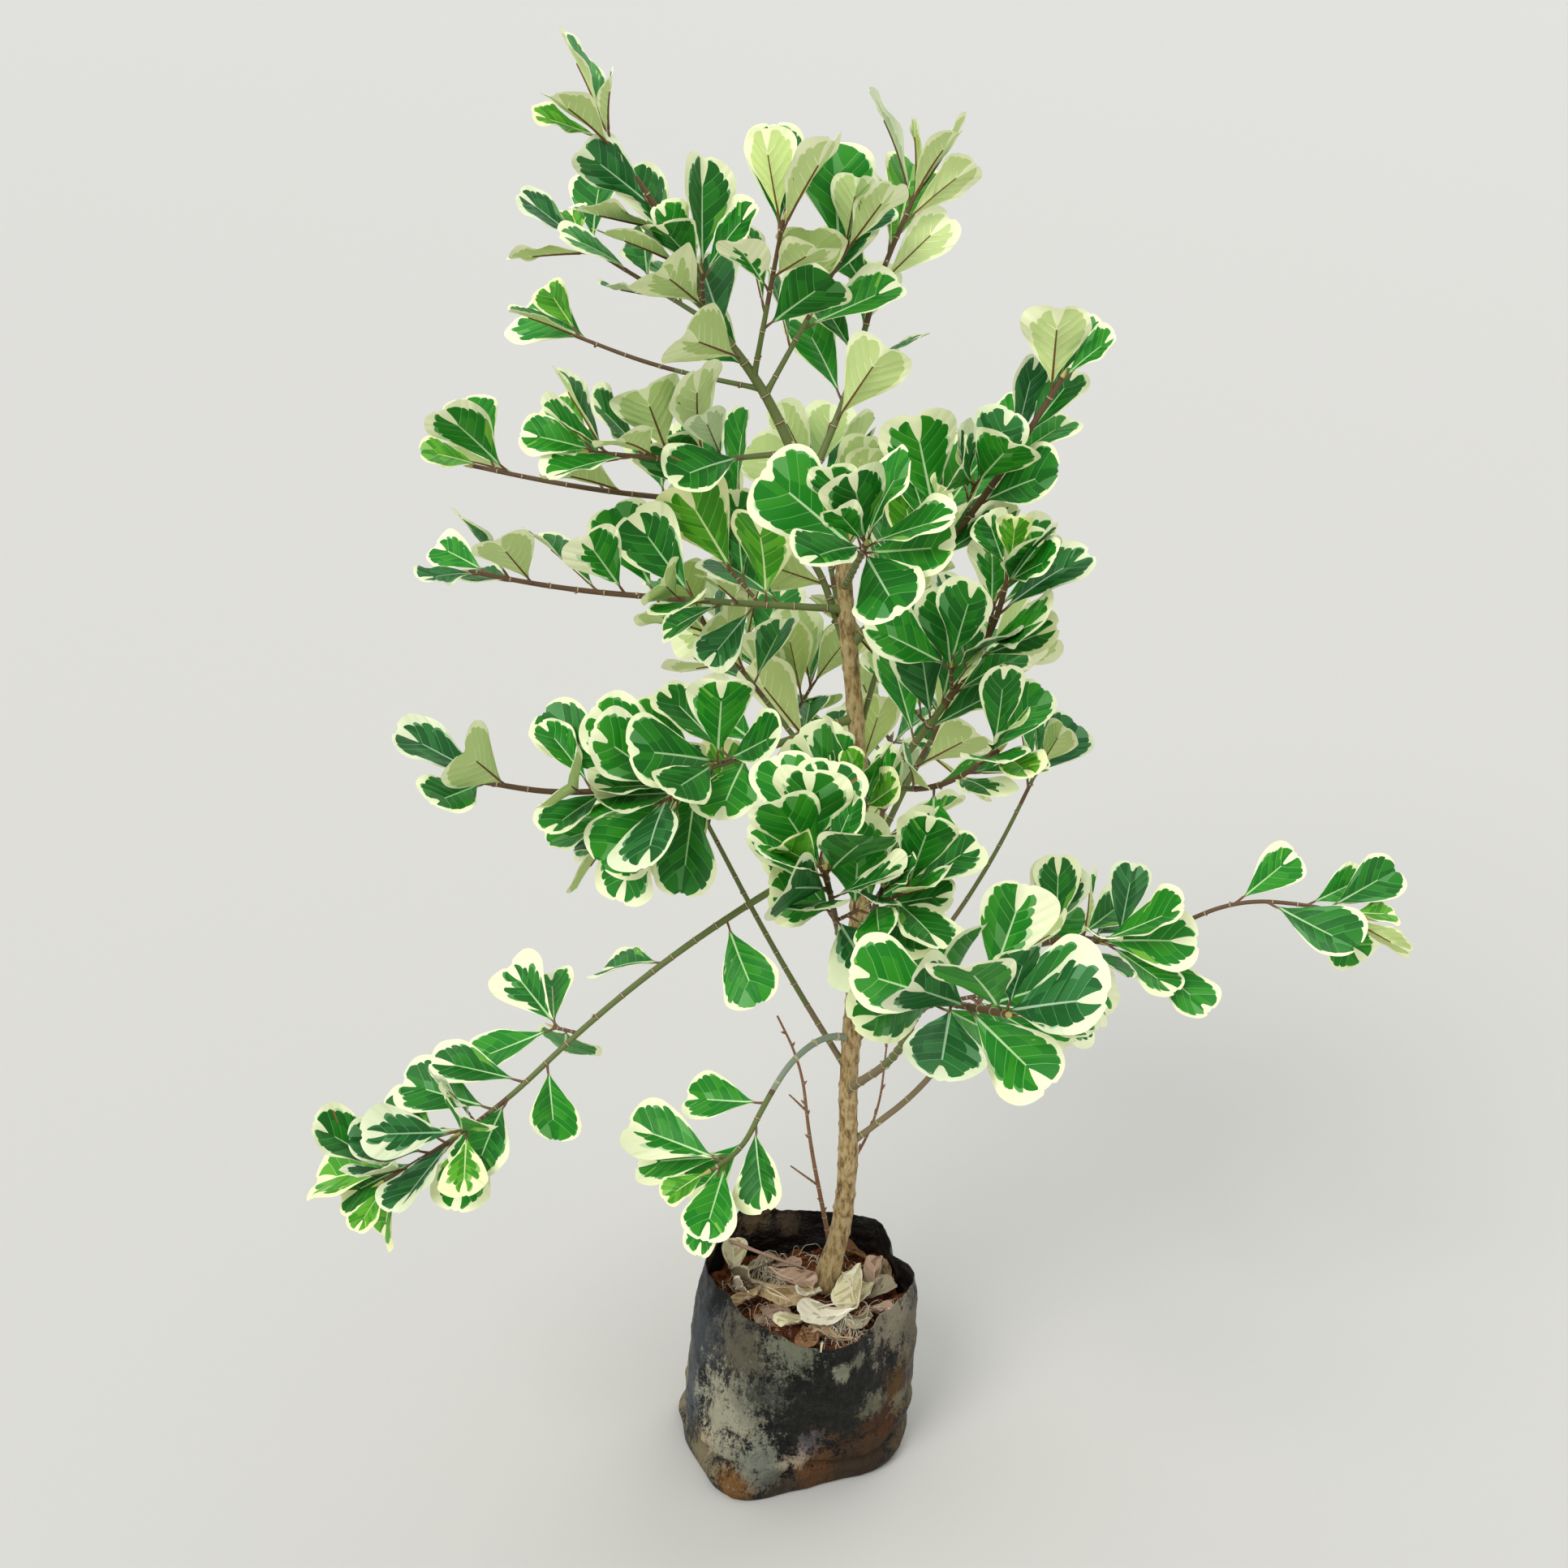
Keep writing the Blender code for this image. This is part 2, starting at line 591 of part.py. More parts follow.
def helper(name, mesh):
    """A hidden solid that the limbs are cut clear of."""
    obj = built(name, *mesh, material(name, (0.5, 0.5, 0.5), 0.5))
    obj.hide_render = True
    obj.display_type = "WIRE"
    return obj


def applied(obj):
    """Replaces an object's mesh by what its modifiers make of it."""
    graph = bpy.context.evaluated_depsgraph_get()
    mesh = bpy.data.meshes.new_from_object(obj.evaluated_get(graph))
    obj.modifiers.clear()
    old = obj.data
    obj.data = mesh
    mesh.name = obj.name
    bpy.data.meshes.remove(old)


def cut_clear(obj, cutter):
    """Cuts the start of a limb back to its parent's surface, a gap clear of it."""
    modifier = obj.modifiers.new("clear of parent", "BOOLEAN")
    modifier.operation = "DIFFERENCE"
    modifier.object = cutter
    applied(obj)


def fused(stem, pieces):
    """Joins the pieces to the stem as one solid and removes them."""
    group = bpy.data.collections.new(stem.name + "_pieces")
    for piece in pieces:
        bpy.context.scene.collection.objects.unlink(piece)
        group.objects.link(piece)
    bpy.context.scene.collection.children.link(group)
    modifier = stem.modifiers.new("fused", "BOOLEAN")
    modifier.operation = "UNION"
    modifier.operand_type = "COLLECTION"
    modifier.collection = group
    bpy.context.view_layer.update()
    applied(stem)
    for piece in pieces:
        mesh = piece.data
        bpy.data.objects.remove(piece)
        bpy.data.meshes.remove(mesh)
    bpy.data.collections.remove(group)


def all_courses():
    """Every limb's course by name, the trunk's first."""
    start = Vector((*TRUNK_FOOT, SOIL_LEVEL + GAP))
    courses = {"trunk": Course(start, TRUNK_STRETCHES)}
    for limb in LIMBS:
        parent = courses[limb.parent]
        distance = parent.reach(limb.height) if limb.height else parent.length
        point, tangent = parent.at(distance)
        if not limb.height:
            point = point + tangent * GAP
        courses[limb.name] = Course(point, limb.stretches)
    return courses


def trunk_radius(distance, length):
    """The trunk's radius, with the flare at its foot."""
    share = distance / length
    flare = FLARE_RADIUS * math.exp(-distance / FLARE_HEIGHT)
    return TRUNK_ROOT_RADIUS + (TRUNK_TIP_RADIUS - TRUNK_ROOT_RADIUS) * share ** 0.7 + flare


def trunk_tube(course, fat=0.0):
    """The trunk as a closed tube, grown all round by fat, with closer rings at its flare."""
    rings = [0.0, 0.005, 0.011, 0.020] + even(0.040, course.length, 11)
    return tube(course, rings, lambda d: trunk_radius(d, course.length) + fat, TRUNK_SIDES)


def stations(limb, course):
    """Where a limb's rings lie: closer together where it bends, with one at either side of its bare end."""
    rings = [0.0]
    for i, tangent in enumerate(course.tangents):
        away = i * course.step - rings[-1]
        before = course.at(rings[-1])[1]
        if away > RING_SPACING or (away > STEP and before.angle(tangent) > math.radians(RING_TURN)):
            rings.append(i * course.step)
    rings = [d for d in rings[1:] if abs(d - limb.bare) > STEP * 1.5 and course.length - d > STEP * 1.5]
    ends = [limb.bare, limb.bare + GAP] if limb.bare else []
    return sorted(rings + ends)


def limb_tube(limb, course, first, last, fat=0.0, sides=6):
    """A stretch of a limb as a closed tube, grown all round by fat."""
    distances = [first] + [d for d in stations(limb, course) if first < d < last] + [last]
    return tube(course, distances, lambda d: tapered(limb, course.length, d) + fat, sides)


def make_bag(black):
    """The grow bag: an open shell with a flat underside."""
    bearings = [360 * i / BAG_SIDES for i in range(BAG_SIDES)]
    sole = [Vector((p.x, p.y, 0.0)) for p in bag_ring(bearings, [BAG_FOOT] * BAG_SIDES, BAG_FOOT)]
    outer = bag_rings(0.0, BAG_FOOT)
    inner = bag_rings(BAG_WALL, BAG_FLOOR)
    points, faces = skinned([sole] + outer + list(reversed(inner)))
    return built("grow_bag", points, faces, black)


def inside_bag(column, height, inset):
    """The point of the bag's inner wall at this height, on one column of its rings, moved inwards."""
    for low, high in zip(column, column[1:]):
        if height <= high.z:
            break
    point = low.lerp(high, (height - low.z) / (high.z - low.z))
    flat = Vector((point.x, point.y, 0.0)).normalized()
    return point - flat * inset


def make_soil(brown):
    """The soil that fills the bag, up to its lumpy surface."""
    inner = bag_rings(BAG_WALL, BAG_FLOOR)
    columns = list(zip(*inner))
    edge_level = SOIL_LEVEL - SOIL_EDGE_DROP
    rings = [[inside_bag(column, BAG_FLOOR + GAP, SOIL_CLEARANCE) for column in columns]]
    for ring in inner[1:]:
        if max(point.z for point in ring) < edge_level - 0.01:
            levels = zip(columns, ring)
            rings.append([inside_bag(column, point.z, SOIL_CLEARANCE) for column, point in levels])
    edge = [inside_bag(column, edge_level, SOIL_CLEARANCE) for column in columns]
    for ring in range(SOIL_RINGS + 1):
        share = 1 - 0.92 * ring / SOIL_RINGS
        row = []
        for point in edge:
            x = TRUNK_FOOT[0] + (point.x - TRUNK_FOOT[0]) * share
            y = TRUNK_FOOT[1] + (point.y - TRUNK_FOOT[1]) * share
            row.append(Vector((x, y, soil_height(x, y))))
        rings.append(row)
    points, faces = skinned(rings)
    return built("soil", points, faces, brown)


def make_sucker(bark):
    """The dead sucker and its side twigs, standing in the soil by the trunk."""
    course = sucker_course()
    root, tip = SUCKER_RADII
    mesh = tube(course, even(0, course.length, 8), lambda d: thinner(root, tip, d / course.length), 6)
    stem = built("dead_sucker", *mesh, bark)
    twigs = []
    for at, bearing, rise, length in SUCKER_TWIGS:
        twig = Course(course.at(at)[0], ((length, bearing, rise),))
        mesh = tube(twig, even(0, length, 2), lambda d, size=length: thinner(0.0010, tip, d / size), 5)
        twigs.append(built("dead_twig", *mesh, bark))
    fused(stem, twigs)


def thinner(root, tip, share):
    """A radius part of the way from root to tip."""
    return root + (tip - root) * share


def dry_twig_mesh(courses):
    """Points and faces of the thin brown twig that leaves the trunk low down."""
    parent, height, stretches, root, tip = DRY_TWIG
    course = Course(courses[parent].at(courses[parent].reach(height))[0], stretches)
    return tube(course, even(0, course.length, 3), lambda d: thinner(root, tip, d / course.length), 5)


def sucker_course():
    """The centreline of the dead sucker, upright where it leaves the soil."""
    start = Vector((*SUCKER_FOOT, SOIL_LEVEL + GAP))
    return Course(start, ((0.008, 0, 90),) + SUCKER_STRETCHES)


def standing_trees(courses):
    """Search trees of all that leaves must stay clear of: bag, trunk, dead wood and every limb."""
    trunk = courses["trunk"]
    trunk_mesh = trunk_tube(trunk)
    sucker = sucker_course()
    trees = [("trunk", tree_of(*trunk_mesh)), ("dry_twig", tree_of(*dry_twig_mesh(courses)))]
    trees.append(("dead_sucker", tree_of(*tube(sucker, even(0, sucker.length, 6), lambda _: 0.003, 5))))
    trees.append(("grow_bag", tree_of(*skinned(bag_rings(-0.002, 0.0)))))
    for limb in LIMBS:
        course = courses[limb.name]
        trees.append((limb.name, tree_of(*limb_tube(limb, course, 0.0, course.length, CLEARANCE))))
    return trees


def main():
    """Builds the potted fig from the bag upwards."""
    for obj in list(bpy.data.objects):
        bpy.data.objects.remove(obj, do_unlink=True)
    black = material("black polythene", (0.020, 0.021, 0.019), 0.55)
    brown = material("soil", (0.085, 0.045, 0.028), 0.95)
    bark = material("fig bark", (0.30, 0.21, 0.13), 0.85)
    dry = material("dry twig", (0.27, 0.15, 0.09), 0.9)
    green = material("green shoot", (0.12, 0.15, 0.05), 0.6)
    leafy = material("variegated leaf", (0.16, 0.36, 0.08), 0.45)

    make_bag(black)
    make_soil(brown)
    make_sucker(dry)
    courses = all_courses()
    limbs = {limb.name: limb for limb in LIMBS}
    built("trunk", *trunk_tube(courses["trunk"]), bark)

    leader = courses["leader"]
    leader_mesh = limb_tube(limbs["leader"], leader, 0.0, leader.length, GAP, BOUGH_SIDES)
    cutters = {
        "trunk": helper("trunk_clearance", trunk_tube(courses["trunk"], GAP)),
        "leader": helper("leader_clearance", leader_mesh),
    }

    dry_mesh = dry_twig_mesh(courses)
    cut_clear(built("dry_twig", *dry_mesh, dry), cutters[DRY_TWIG[0]])

    growth = Growth(courses, standing_trees(courses))
    for limb in LIMBS:
        course = courses[limb.name]
        spurs, leaves = growth.mass(limb)
        if limb.bare:
            bough_mesh = limb_tube(limb, course, 0.0, limb.bare, 0.0, BOUGH_SIDES)
            bough = built("bough_" + limb.name, *bough_mesh, green)
            if limb.height:
                cut_clear(bough, cutters[limb.parent])
        start = limb.bare + GAP if limb.bare else 0.0
        sides = BOUGH_SIDES if limb.name in cutters else TWIG_SIDES
        stem_mesh = limb_tube(limb, course, start, course.length, 0.0, sides)
        stem = built("foliage_" + limb.name, *stem_mesh, leafy)
        if not limb.bare:
            cut_clear(stem, cutters[limb.parent])
        pieces = []
        for spur in spurs:
            pieces.append(built("twig", *tube(spur, (0.0, spur.length), lambda _: SPUR_RADIUS, 3), leafy))
        for leaf in leaves:
            pieces.append(built("leaf", *leaf.mesh(), leafy))
        fused(stem, pieces)
        finish(stem.data, leafy, 30.0)


if __name__ == "__main__":
    main()
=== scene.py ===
"""Looks of the potted variegated triangle fig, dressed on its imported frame.

Metres, +Z up, seen from -Y. Limbs, twigs and leaves grow by the same seeded rule as the solids, and
Geometry Nodes turn their paths and buds into bark, stalks and blades.
"""

import functools
import json
import logging
import math
import random
from collections.abc import Callable, Iterable, Sequence
from dataclasses import dataclass, field, replace
from enum import Enum, IntEnum

import bmesh
import bpy
from mathutils import Matrix, Vector, noise
from mathutils.bvhtree import BVHTree

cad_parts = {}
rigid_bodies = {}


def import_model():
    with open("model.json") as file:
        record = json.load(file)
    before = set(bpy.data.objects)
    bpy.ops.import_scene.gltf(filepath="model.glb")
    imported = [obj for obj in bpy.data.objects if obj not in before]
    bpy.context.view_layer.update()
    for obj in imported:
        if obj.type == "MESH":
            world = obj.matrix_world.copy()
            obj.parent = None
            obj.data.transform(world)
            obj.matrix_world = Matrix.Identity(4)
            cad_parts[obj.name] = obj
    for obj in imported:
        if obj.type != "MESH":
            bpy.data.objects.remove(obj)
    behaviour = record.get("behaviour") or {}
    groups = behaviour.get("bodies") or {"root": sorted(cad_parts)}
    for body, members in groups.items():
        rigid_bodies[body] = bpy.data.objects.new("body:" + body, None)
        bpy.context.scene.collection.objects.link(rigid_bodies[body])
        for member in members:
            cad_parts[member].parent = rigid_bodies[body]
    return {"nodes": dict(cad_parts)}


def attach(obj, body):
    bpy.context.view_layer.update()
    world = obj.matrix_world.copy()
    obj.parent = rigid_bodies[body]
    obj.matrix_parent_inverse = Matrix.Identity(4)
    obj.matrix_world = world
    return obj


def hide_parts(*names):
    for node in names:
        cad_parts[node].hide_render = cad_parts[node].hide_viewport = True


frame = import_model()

LOG = logging.getLogger("triangle_fig")
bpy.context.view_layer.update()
UP = Vector((0.0, 0.0, 1.0))
MM = 0.001
# How far apart two solids stand where they meet
GAP = 0.0003
Colour = tuple[float, float, float, float]
Solid = tuple[list[Vector], list[tuple[int, ...]]]
Mesh = bpy.types.Mesh
Tree = bpy.types.NodeTree
Node = bpy.types.Node
Socket = bpy.types.NodeSocket


def linear(code: str) -> Colour:
    """The linear colour of an sRGB hex value.

    Args:
        code: The colour as RRGGBB.

    Returns:
        Red, green and blue from 0 to 1, and an alpha of 1.
    """
    parts = [int(code[i : i + 2], 16) / 255 for i in (0, 2, 4)]
    red, green, blue = (c / 12.92 if c <= 0.04045 else ((c + 0.055) / 1.055) ** 2.4 for c in parts)
    return red, green, blue, 1.0


def node(tree: Tree, kind: str | Node, sockets: dict | None = None, **settings: object) -> Node:
    """Adds a node with its settings and links.

    Args:
        tree: The tree that it goes into.
        kind: Blender's name for the node's type, or a node that is there already.
        sockets: For each input by name or number, a value, or the output or node that it is linked from.
        settings: The node's own properties.

    Returns:
        The node.
    """
    made = tree.nodes.new(kind) if isinstance(kind, str) else kind
    for name, value in settings.items():
        setattr(made, name, value)
    for name, value in (sockets or {}).items():
        if isinstance(value, (Node, Socket)):
            tree.links.new(value.outputs[0] if isinstance(value, Node) else value, made.inputs[name])
        else:
            made.inputs[name].default_value = value
    return made


@dataclass(frozen=True)
class Finish:
    """A finish of one colour with a fine relief and an uneven gloss.

    Args:
        name: What the surface is and how it came to be.
        colour: Its sRGB hex colour.
        roughness: Its mean roughness.
        grain: The width of its grain, in millimetres.
        relief: The height of its grain, in millimetres.
        gloss: How strongly it mirrors light, where 0.5 is usual.
    """

    name: str
    colour: str
    roughness: float
    grain: float = 1.2
    relief: float = 0.1
    gloss: float = 0.5

    @functools.cache
    def material(self) -> bpy.types.Material:
        """This finish as a material, made once.

        Returns:
            The material, its pattern on Object coordinates.
        """
        made = bpy.data.materials.new(self.name)
        made.use_nodes = True
        made.diffuse_color = linear(self.colour)
        tree = made.node_tree
        place = node(tree, "ShaderNodeTexCoord").outputs["Object"]
        node(tree, tree.nodes["Principled BSDF"],
             {"Base Color": linear(self.colour), "Specular IOR Level": self.gloss, **self.looks(tree, place)})
        return made

    def looks(self, tree: Tree, place: Socket) -> dict[str, Node | Socket]:
        """What the shader's inputs are linked from."""
        return self.relieved(tree, {"Vector": place, "Detail": 3.0})

    def relieved(self, tree: Tree, pattern: dict[str, object]) -> dict[str, Node | Socket]:
        """The roughness and the bump that one grain gives, finer than the eye parts but for its shimmer.

        Args:
            tree: The material's tree.
            pattern: The grain's place and detail.

        Returns:
            What the two inputs are linked from.
        """
        grain = node(tree, "ShaderNodeTexNoise", {"Scale": 1 / (self.grain * MM), **pattern})
        low, high = max(0.0, self.roughness - 0.09), min(1.0, self.roughness + 0.09)
        return {"Roughness": node(tree, "ShaderNodeMapRange", {"Value": grain, "From Min": 0.3, "From Max": 0.7,
                                                               "To Min": low, "To Max": high}),
                "Normal": node(tree, "ShaderNodeBump", {"Height": grain, "Distance": self.relief * MM,
                                                        "Strength": 1.0})}


@dataclass(frozen=True)
class MottledFinish(Finish):
    """A finish whose colour wanders through several, as bark and soil do.

    Args:
        colours: The colours from the pattern's hollows to its heights.
        patch: The width of a patch of colour, in millimetres.
        stretch: How many times longer than wide the pattern is along Z.
    """

    colours: tuple[str, ...] = ()
    patch: float = 6.0
    stretch: float = 1.0

    def looks(self, tree: Tree, place: Socket) -> dict[str, Node | Socket]:
        """What the shader's inputs are linked from.

        Args:
            tree: The material's tree.
            place: The Object coordinates.

        Returns:
            The colour from the patches, roughness and bump from the grain.
        """
        along = node(tree, "ShaderNodeMapping", {"Vector": place, "Scale": (1.0, 1.0, 1 / self.stretch)})
        patches = node(tree, "ShaderNodeTexNoise", {"Vector": along, "Scale": 1 / (self.patch * MM), "Detail": 6.0,
                                                    "Roughness": 0.62})
        ramp = node(tree, "ShaderNodeValToRGB", {"Fac": patches})
        stops = ramp.color_ramp.elements
        while len(stops) < len(self.colours):
            stops.new(0.5)
        for i, (stop, colour) in enumerate(zip(stops, self.colours)):
            stop.position = 0.32 + 0.36 * i / (len(self.colours) - 1)
            stop.color = linear(colour)
        return {"Base Color": ramp, **self.relieved(tree, {"Vector": along, "Detail": 5.0, "Roughness": 0.65})}


@dataclass(frozen=True)
class FilmFinish(Finish):
    """Blown black polythene film, with soft-edged, ragged stains: dust and rust-brown mud dried on it, and a few
    painted highlights and painted reflections.

    Args:
        stains: (x, y, z, width, strength, colour) of each: millimetres, and strength in hundredths.
    """

    stains: tuple[tuple, ...] = ()

    def looks(self, tree: Tree, place: Socket) -> dict[str, Node | Socket]:
        """What the shader's inputs are linked from.

        Args:
            tree: The material's tree.
            place: The Object coordinates.

        Returns:
            Each stain laid over the last, duller where they lie, and the film's fine crumple as bump.
        """
        smears = node(tree, "ShaderNodeMapping", {"Vector": place, "Scale": (240.0, 240.0, 90.0)})
        # What frays a stain's edge, and by how much: clouds, streaks that run down, and specks
        frays = [(node(tree, "ShaderNodeTexNoise", {"Vector": spot, "Scale": scale, "Detail": detail,
                                                    "Roughness": rough}), weight)
                 for spot, scale, detail, rough, weight in
                 ((place, 70.0, 8.0, 0.72, 2.3), (smears, 1.0, 7.0, 0.72, 1.7), (place, 520.0, 4.0, 0.7, 1.5))]
        colour: Socket | Colour = linear(self.colour)
        cover: Node | float = 0.0
        for *spot, width, strength, code in self.stains:
            away = node(tree, "ShaderNodeVectorMath", {0: place, 1: milli(*spot)}, operation="DISTANCE")
            near = node(tree, "ShaderNodeMapRange", {"Value": away.outputs["Value"], "From Max": width / 1000,
                                                     "To Min": 1.0, "To Max": -0.2}, clamp=False)
            for fray, weight in frays:
                near = node(tree, "ShaderNodeMath", {0: fray, 1: weight, 2: near}, operation="MULTIPLY_ADD")
            share = node(tree, "ShaderNodeMapRange", {"Value": near, "From Min": 2.95, "From Max": 3.4,
                                                      "To Max": strength / 100})
            mixed = node(tree, "ShaderNodeMix", {"Factor": share, 6: colour, 7: linear(code)}, data_type="RGBA")
            colour = mixed.outputs[2]
            cover = node(tree, "ShaderNodeMath", {0: cover, 1: share}, operation="MAXIMUM")
        crumple = node(tree, "ShaderNodeTexNoise", {"Vector": place, "Scale": 0.2 / (self.grain * MM), "Detail": 9.0,
                                                    "Roughness": 0.6, "Distortion": 0.8})
        return {"Base Color": colour,
                "Roughness": node(tree, "ShaderNodeMapRange", {"Value": cover, "To Min": self.roughness,
                                                               "To Max": 0.85}),
                "Normal": node(tree, "ShaderNodeBump", {"Height": crumple, "Distance": 9 * self.relief * MM})}


def shaped(name: str, points: Sequence, faces: Sequence = (), edges: Sequence = (),
           finishes: Iterable[Finish] = (), **layers: tuple[str, str, Sequence]) -> Mesh:
    """A mesh with its finishes and its named attributes.

    Args:
        name: Its name.
        points: Its points.
        faces: Its faces, as the numbers of their points.
        edges: Its edges, for a path.
        finishes: What it wears, in the order of its faces' numbers.
        layers: (type, domain, values) of each attribute by its name.

    Returns:
        The mesh.
    """
    mesh = bpy.data.meshes.new(name)
    mesh.from_pydata(points, edges, faces)
    for finish in finishes:
        mesh.materials.append(finish.material())
    for label, (kind, domain, values) in layers.items():
        if kind in ("FLOAT_VECTOR", "QUATERNION"):
            values = [part for value in values for part in value]
        part = "vector" if kind == "FLOAT_VECTOR" else "value"
        mesh.attributes.new(label, kind, domain).data.foreach_set(part, values)
    return mesh


def cleared(shapes: bpy.types.Collection) -> None:
    """Removes a collection of repeated shapes.

    Args:
        shapes: The collection.
    """
    for obj in list(shapes.objects):
        bpy.data.meshes.remove(obj.data)
    bpy.data.collections.remove(shapes)


def gathered(name: str, meshes: Iterable[Mesh]) -> bpy.types.Collection:
    """A collection of the shapes that a tree repeats.

    Args:
        name: Its name.
        meshes: The shapes, named so that they sort in their order.

    Returns:
        The collection.
    """
    shapes = bpy.data.collections.new(name)
    bpy.context.scene.collection.children.link(shapes)
    for mesh in meshes:
        shapes.objects.link(bpy.data.objects.new(mesh.name, mesh))
    return shapes


def milli(*values: int) -> tuple[float, ...]:
    """Whole thousandths, such as millimetres, as a part of one."""
    return tuple(value / 1000 for value in values)


def scaled(rows: Sequence[tuple], lengths: int = 1) -> tuple[tuple, ...]:
    """Rows whose first values, this many of them, are turned from millimetres into metres."""
    return tuple((*milli(*row[:lengths]), *row[lengths:]) for row in rows)


# Grow bag: radii and heights every 30 degrees round it, from +X by +Y
BAG_BASE_RADII = milli(86, 84, 91, 81, 86, 94, 85, 82, 90, 70, 66, 80)
BAG_RIM_RADII = milli(92, 89, 85, 75, 82, 71, 66, 56, 56, 66, 78, 80)
BAG_RIM_HEIGHTS = milli(144, 150, 152, 154, 155, 153, 149, 142, 135, 128, 129, 137)
SOIL_LEVEL = 0.120
# How far from a foot the soil lies level, and how far on it reaches its full lumps
SOIL_FLAT = 0.019
SOIL_FALL = 0.025
TRUNK_FOOT = (0.0264, 0.021)
SUCKER_FOOT = (0.029, 0.044)
# (length, bearing, rise) of each stretch: bearing 0 is +X, 90 is +Y, and rise is above level
TRUNK_STRETCHES = scaled(((6, 0, 90), (36, 0, 74), (70, 0, 85.5), (65, 180, 88.5), (50, 0, 86.5), (210, 0, 89),
                          (95, 180, 84), (55, 180, 86)))
SUCKER_STRETCHES = scaled(((8, 0, 90), (47, 180, 80), (57, 180, 80), (77, 180, 85), (34, 180, 66)))
# (distance along the sucker, bearing, rise, length) of each of its twigs
SUCKER_TWIGS = ((0.075, 180, 39, 0.027), (0.140, 180, 47, 0.019))
# The dry twig: how high it leaves the trunk, and its stretches
DRY_TWIG_HEIGHT = 0.222
DRY_TWIG_STRETCHES = ((0.024, 40, 45), (0.095, 30, 84))
# How far from its twig a blade begins in the growing rule, and where its stalk ends as it shows
PETIOLE = 0.013
STALK = 0.009
# Where the leaves of a side twig leave it, as shares of its length
SPUR_LEAVES = (0.50, 0.80, 0.96, 1.0)
# How far apart the points of a course are at most
STEP = 0.004
# The turn from leaf to leaf round a steep twig
GOLDEN = 137.5
# The room kept round a leaf
CLEARANCE = 0.0007


@dataclass(frozen=True)
class Limb:
    """One limb: where it leaves its parent, how it runs, and what it carries.

    Args:
        name: Its name, which its bough and its mass share.
        parent: The stem that it leaves.
        height: Where it leaves it, or 0 for its tip.
        root: Its radius where it begins.
        tip: Its radius where it ends.
        bare: How far it is bare, up to its leaves.
        size: The mean length of its blades.
        lift: How strongly its leaves turn upwards.
        stretches: (length, bearing, rise) each.
        zones: (from, to, leaves, seed) each, measured along it.
        spurs: Side twigs, (at, seed) each.
    """

    name: str
    parent: str
    height: float
    root: float
    tip: float
    bare: float
    size: float
    lift: float
    stretches: tuple[tuple, ...]
    zones: tuple[tuple, ...]
    spurs: tuple[tuple, ...]

    @classmethod
    def of(cls, name: str, parent: str, height: int, sizes: tuple, stretches: tuple, zones: tuple,
           spurs: tuple = ()) -> "Limb":
        """A limb from a row of whole numbers.

        Args:
            name: Its name.
            parent: The stem that it leaves.
            height: Where it leaves it, in millimetres.
            sizes: Its two radii in tenths of a millimetre, bare length and blades in millimetres, lift in tenths.
            stretches: (length, bearing, rise) each, in millimetres and degrees.
            zones: (from, to, leaves, seed) each, in millimetres.
            spurs: (at, seed) each, in millimetres.

        Returns:
            The limb.
        """
        root, tip, bare, size, lift = sizes
        return cls(name, parent, height / 1000, root / 10000, tip / 10000, bare / 1000, size / 1000, lift / 10,
                   scaled(stretches), scaled(zones, 2), scaled(spurs))


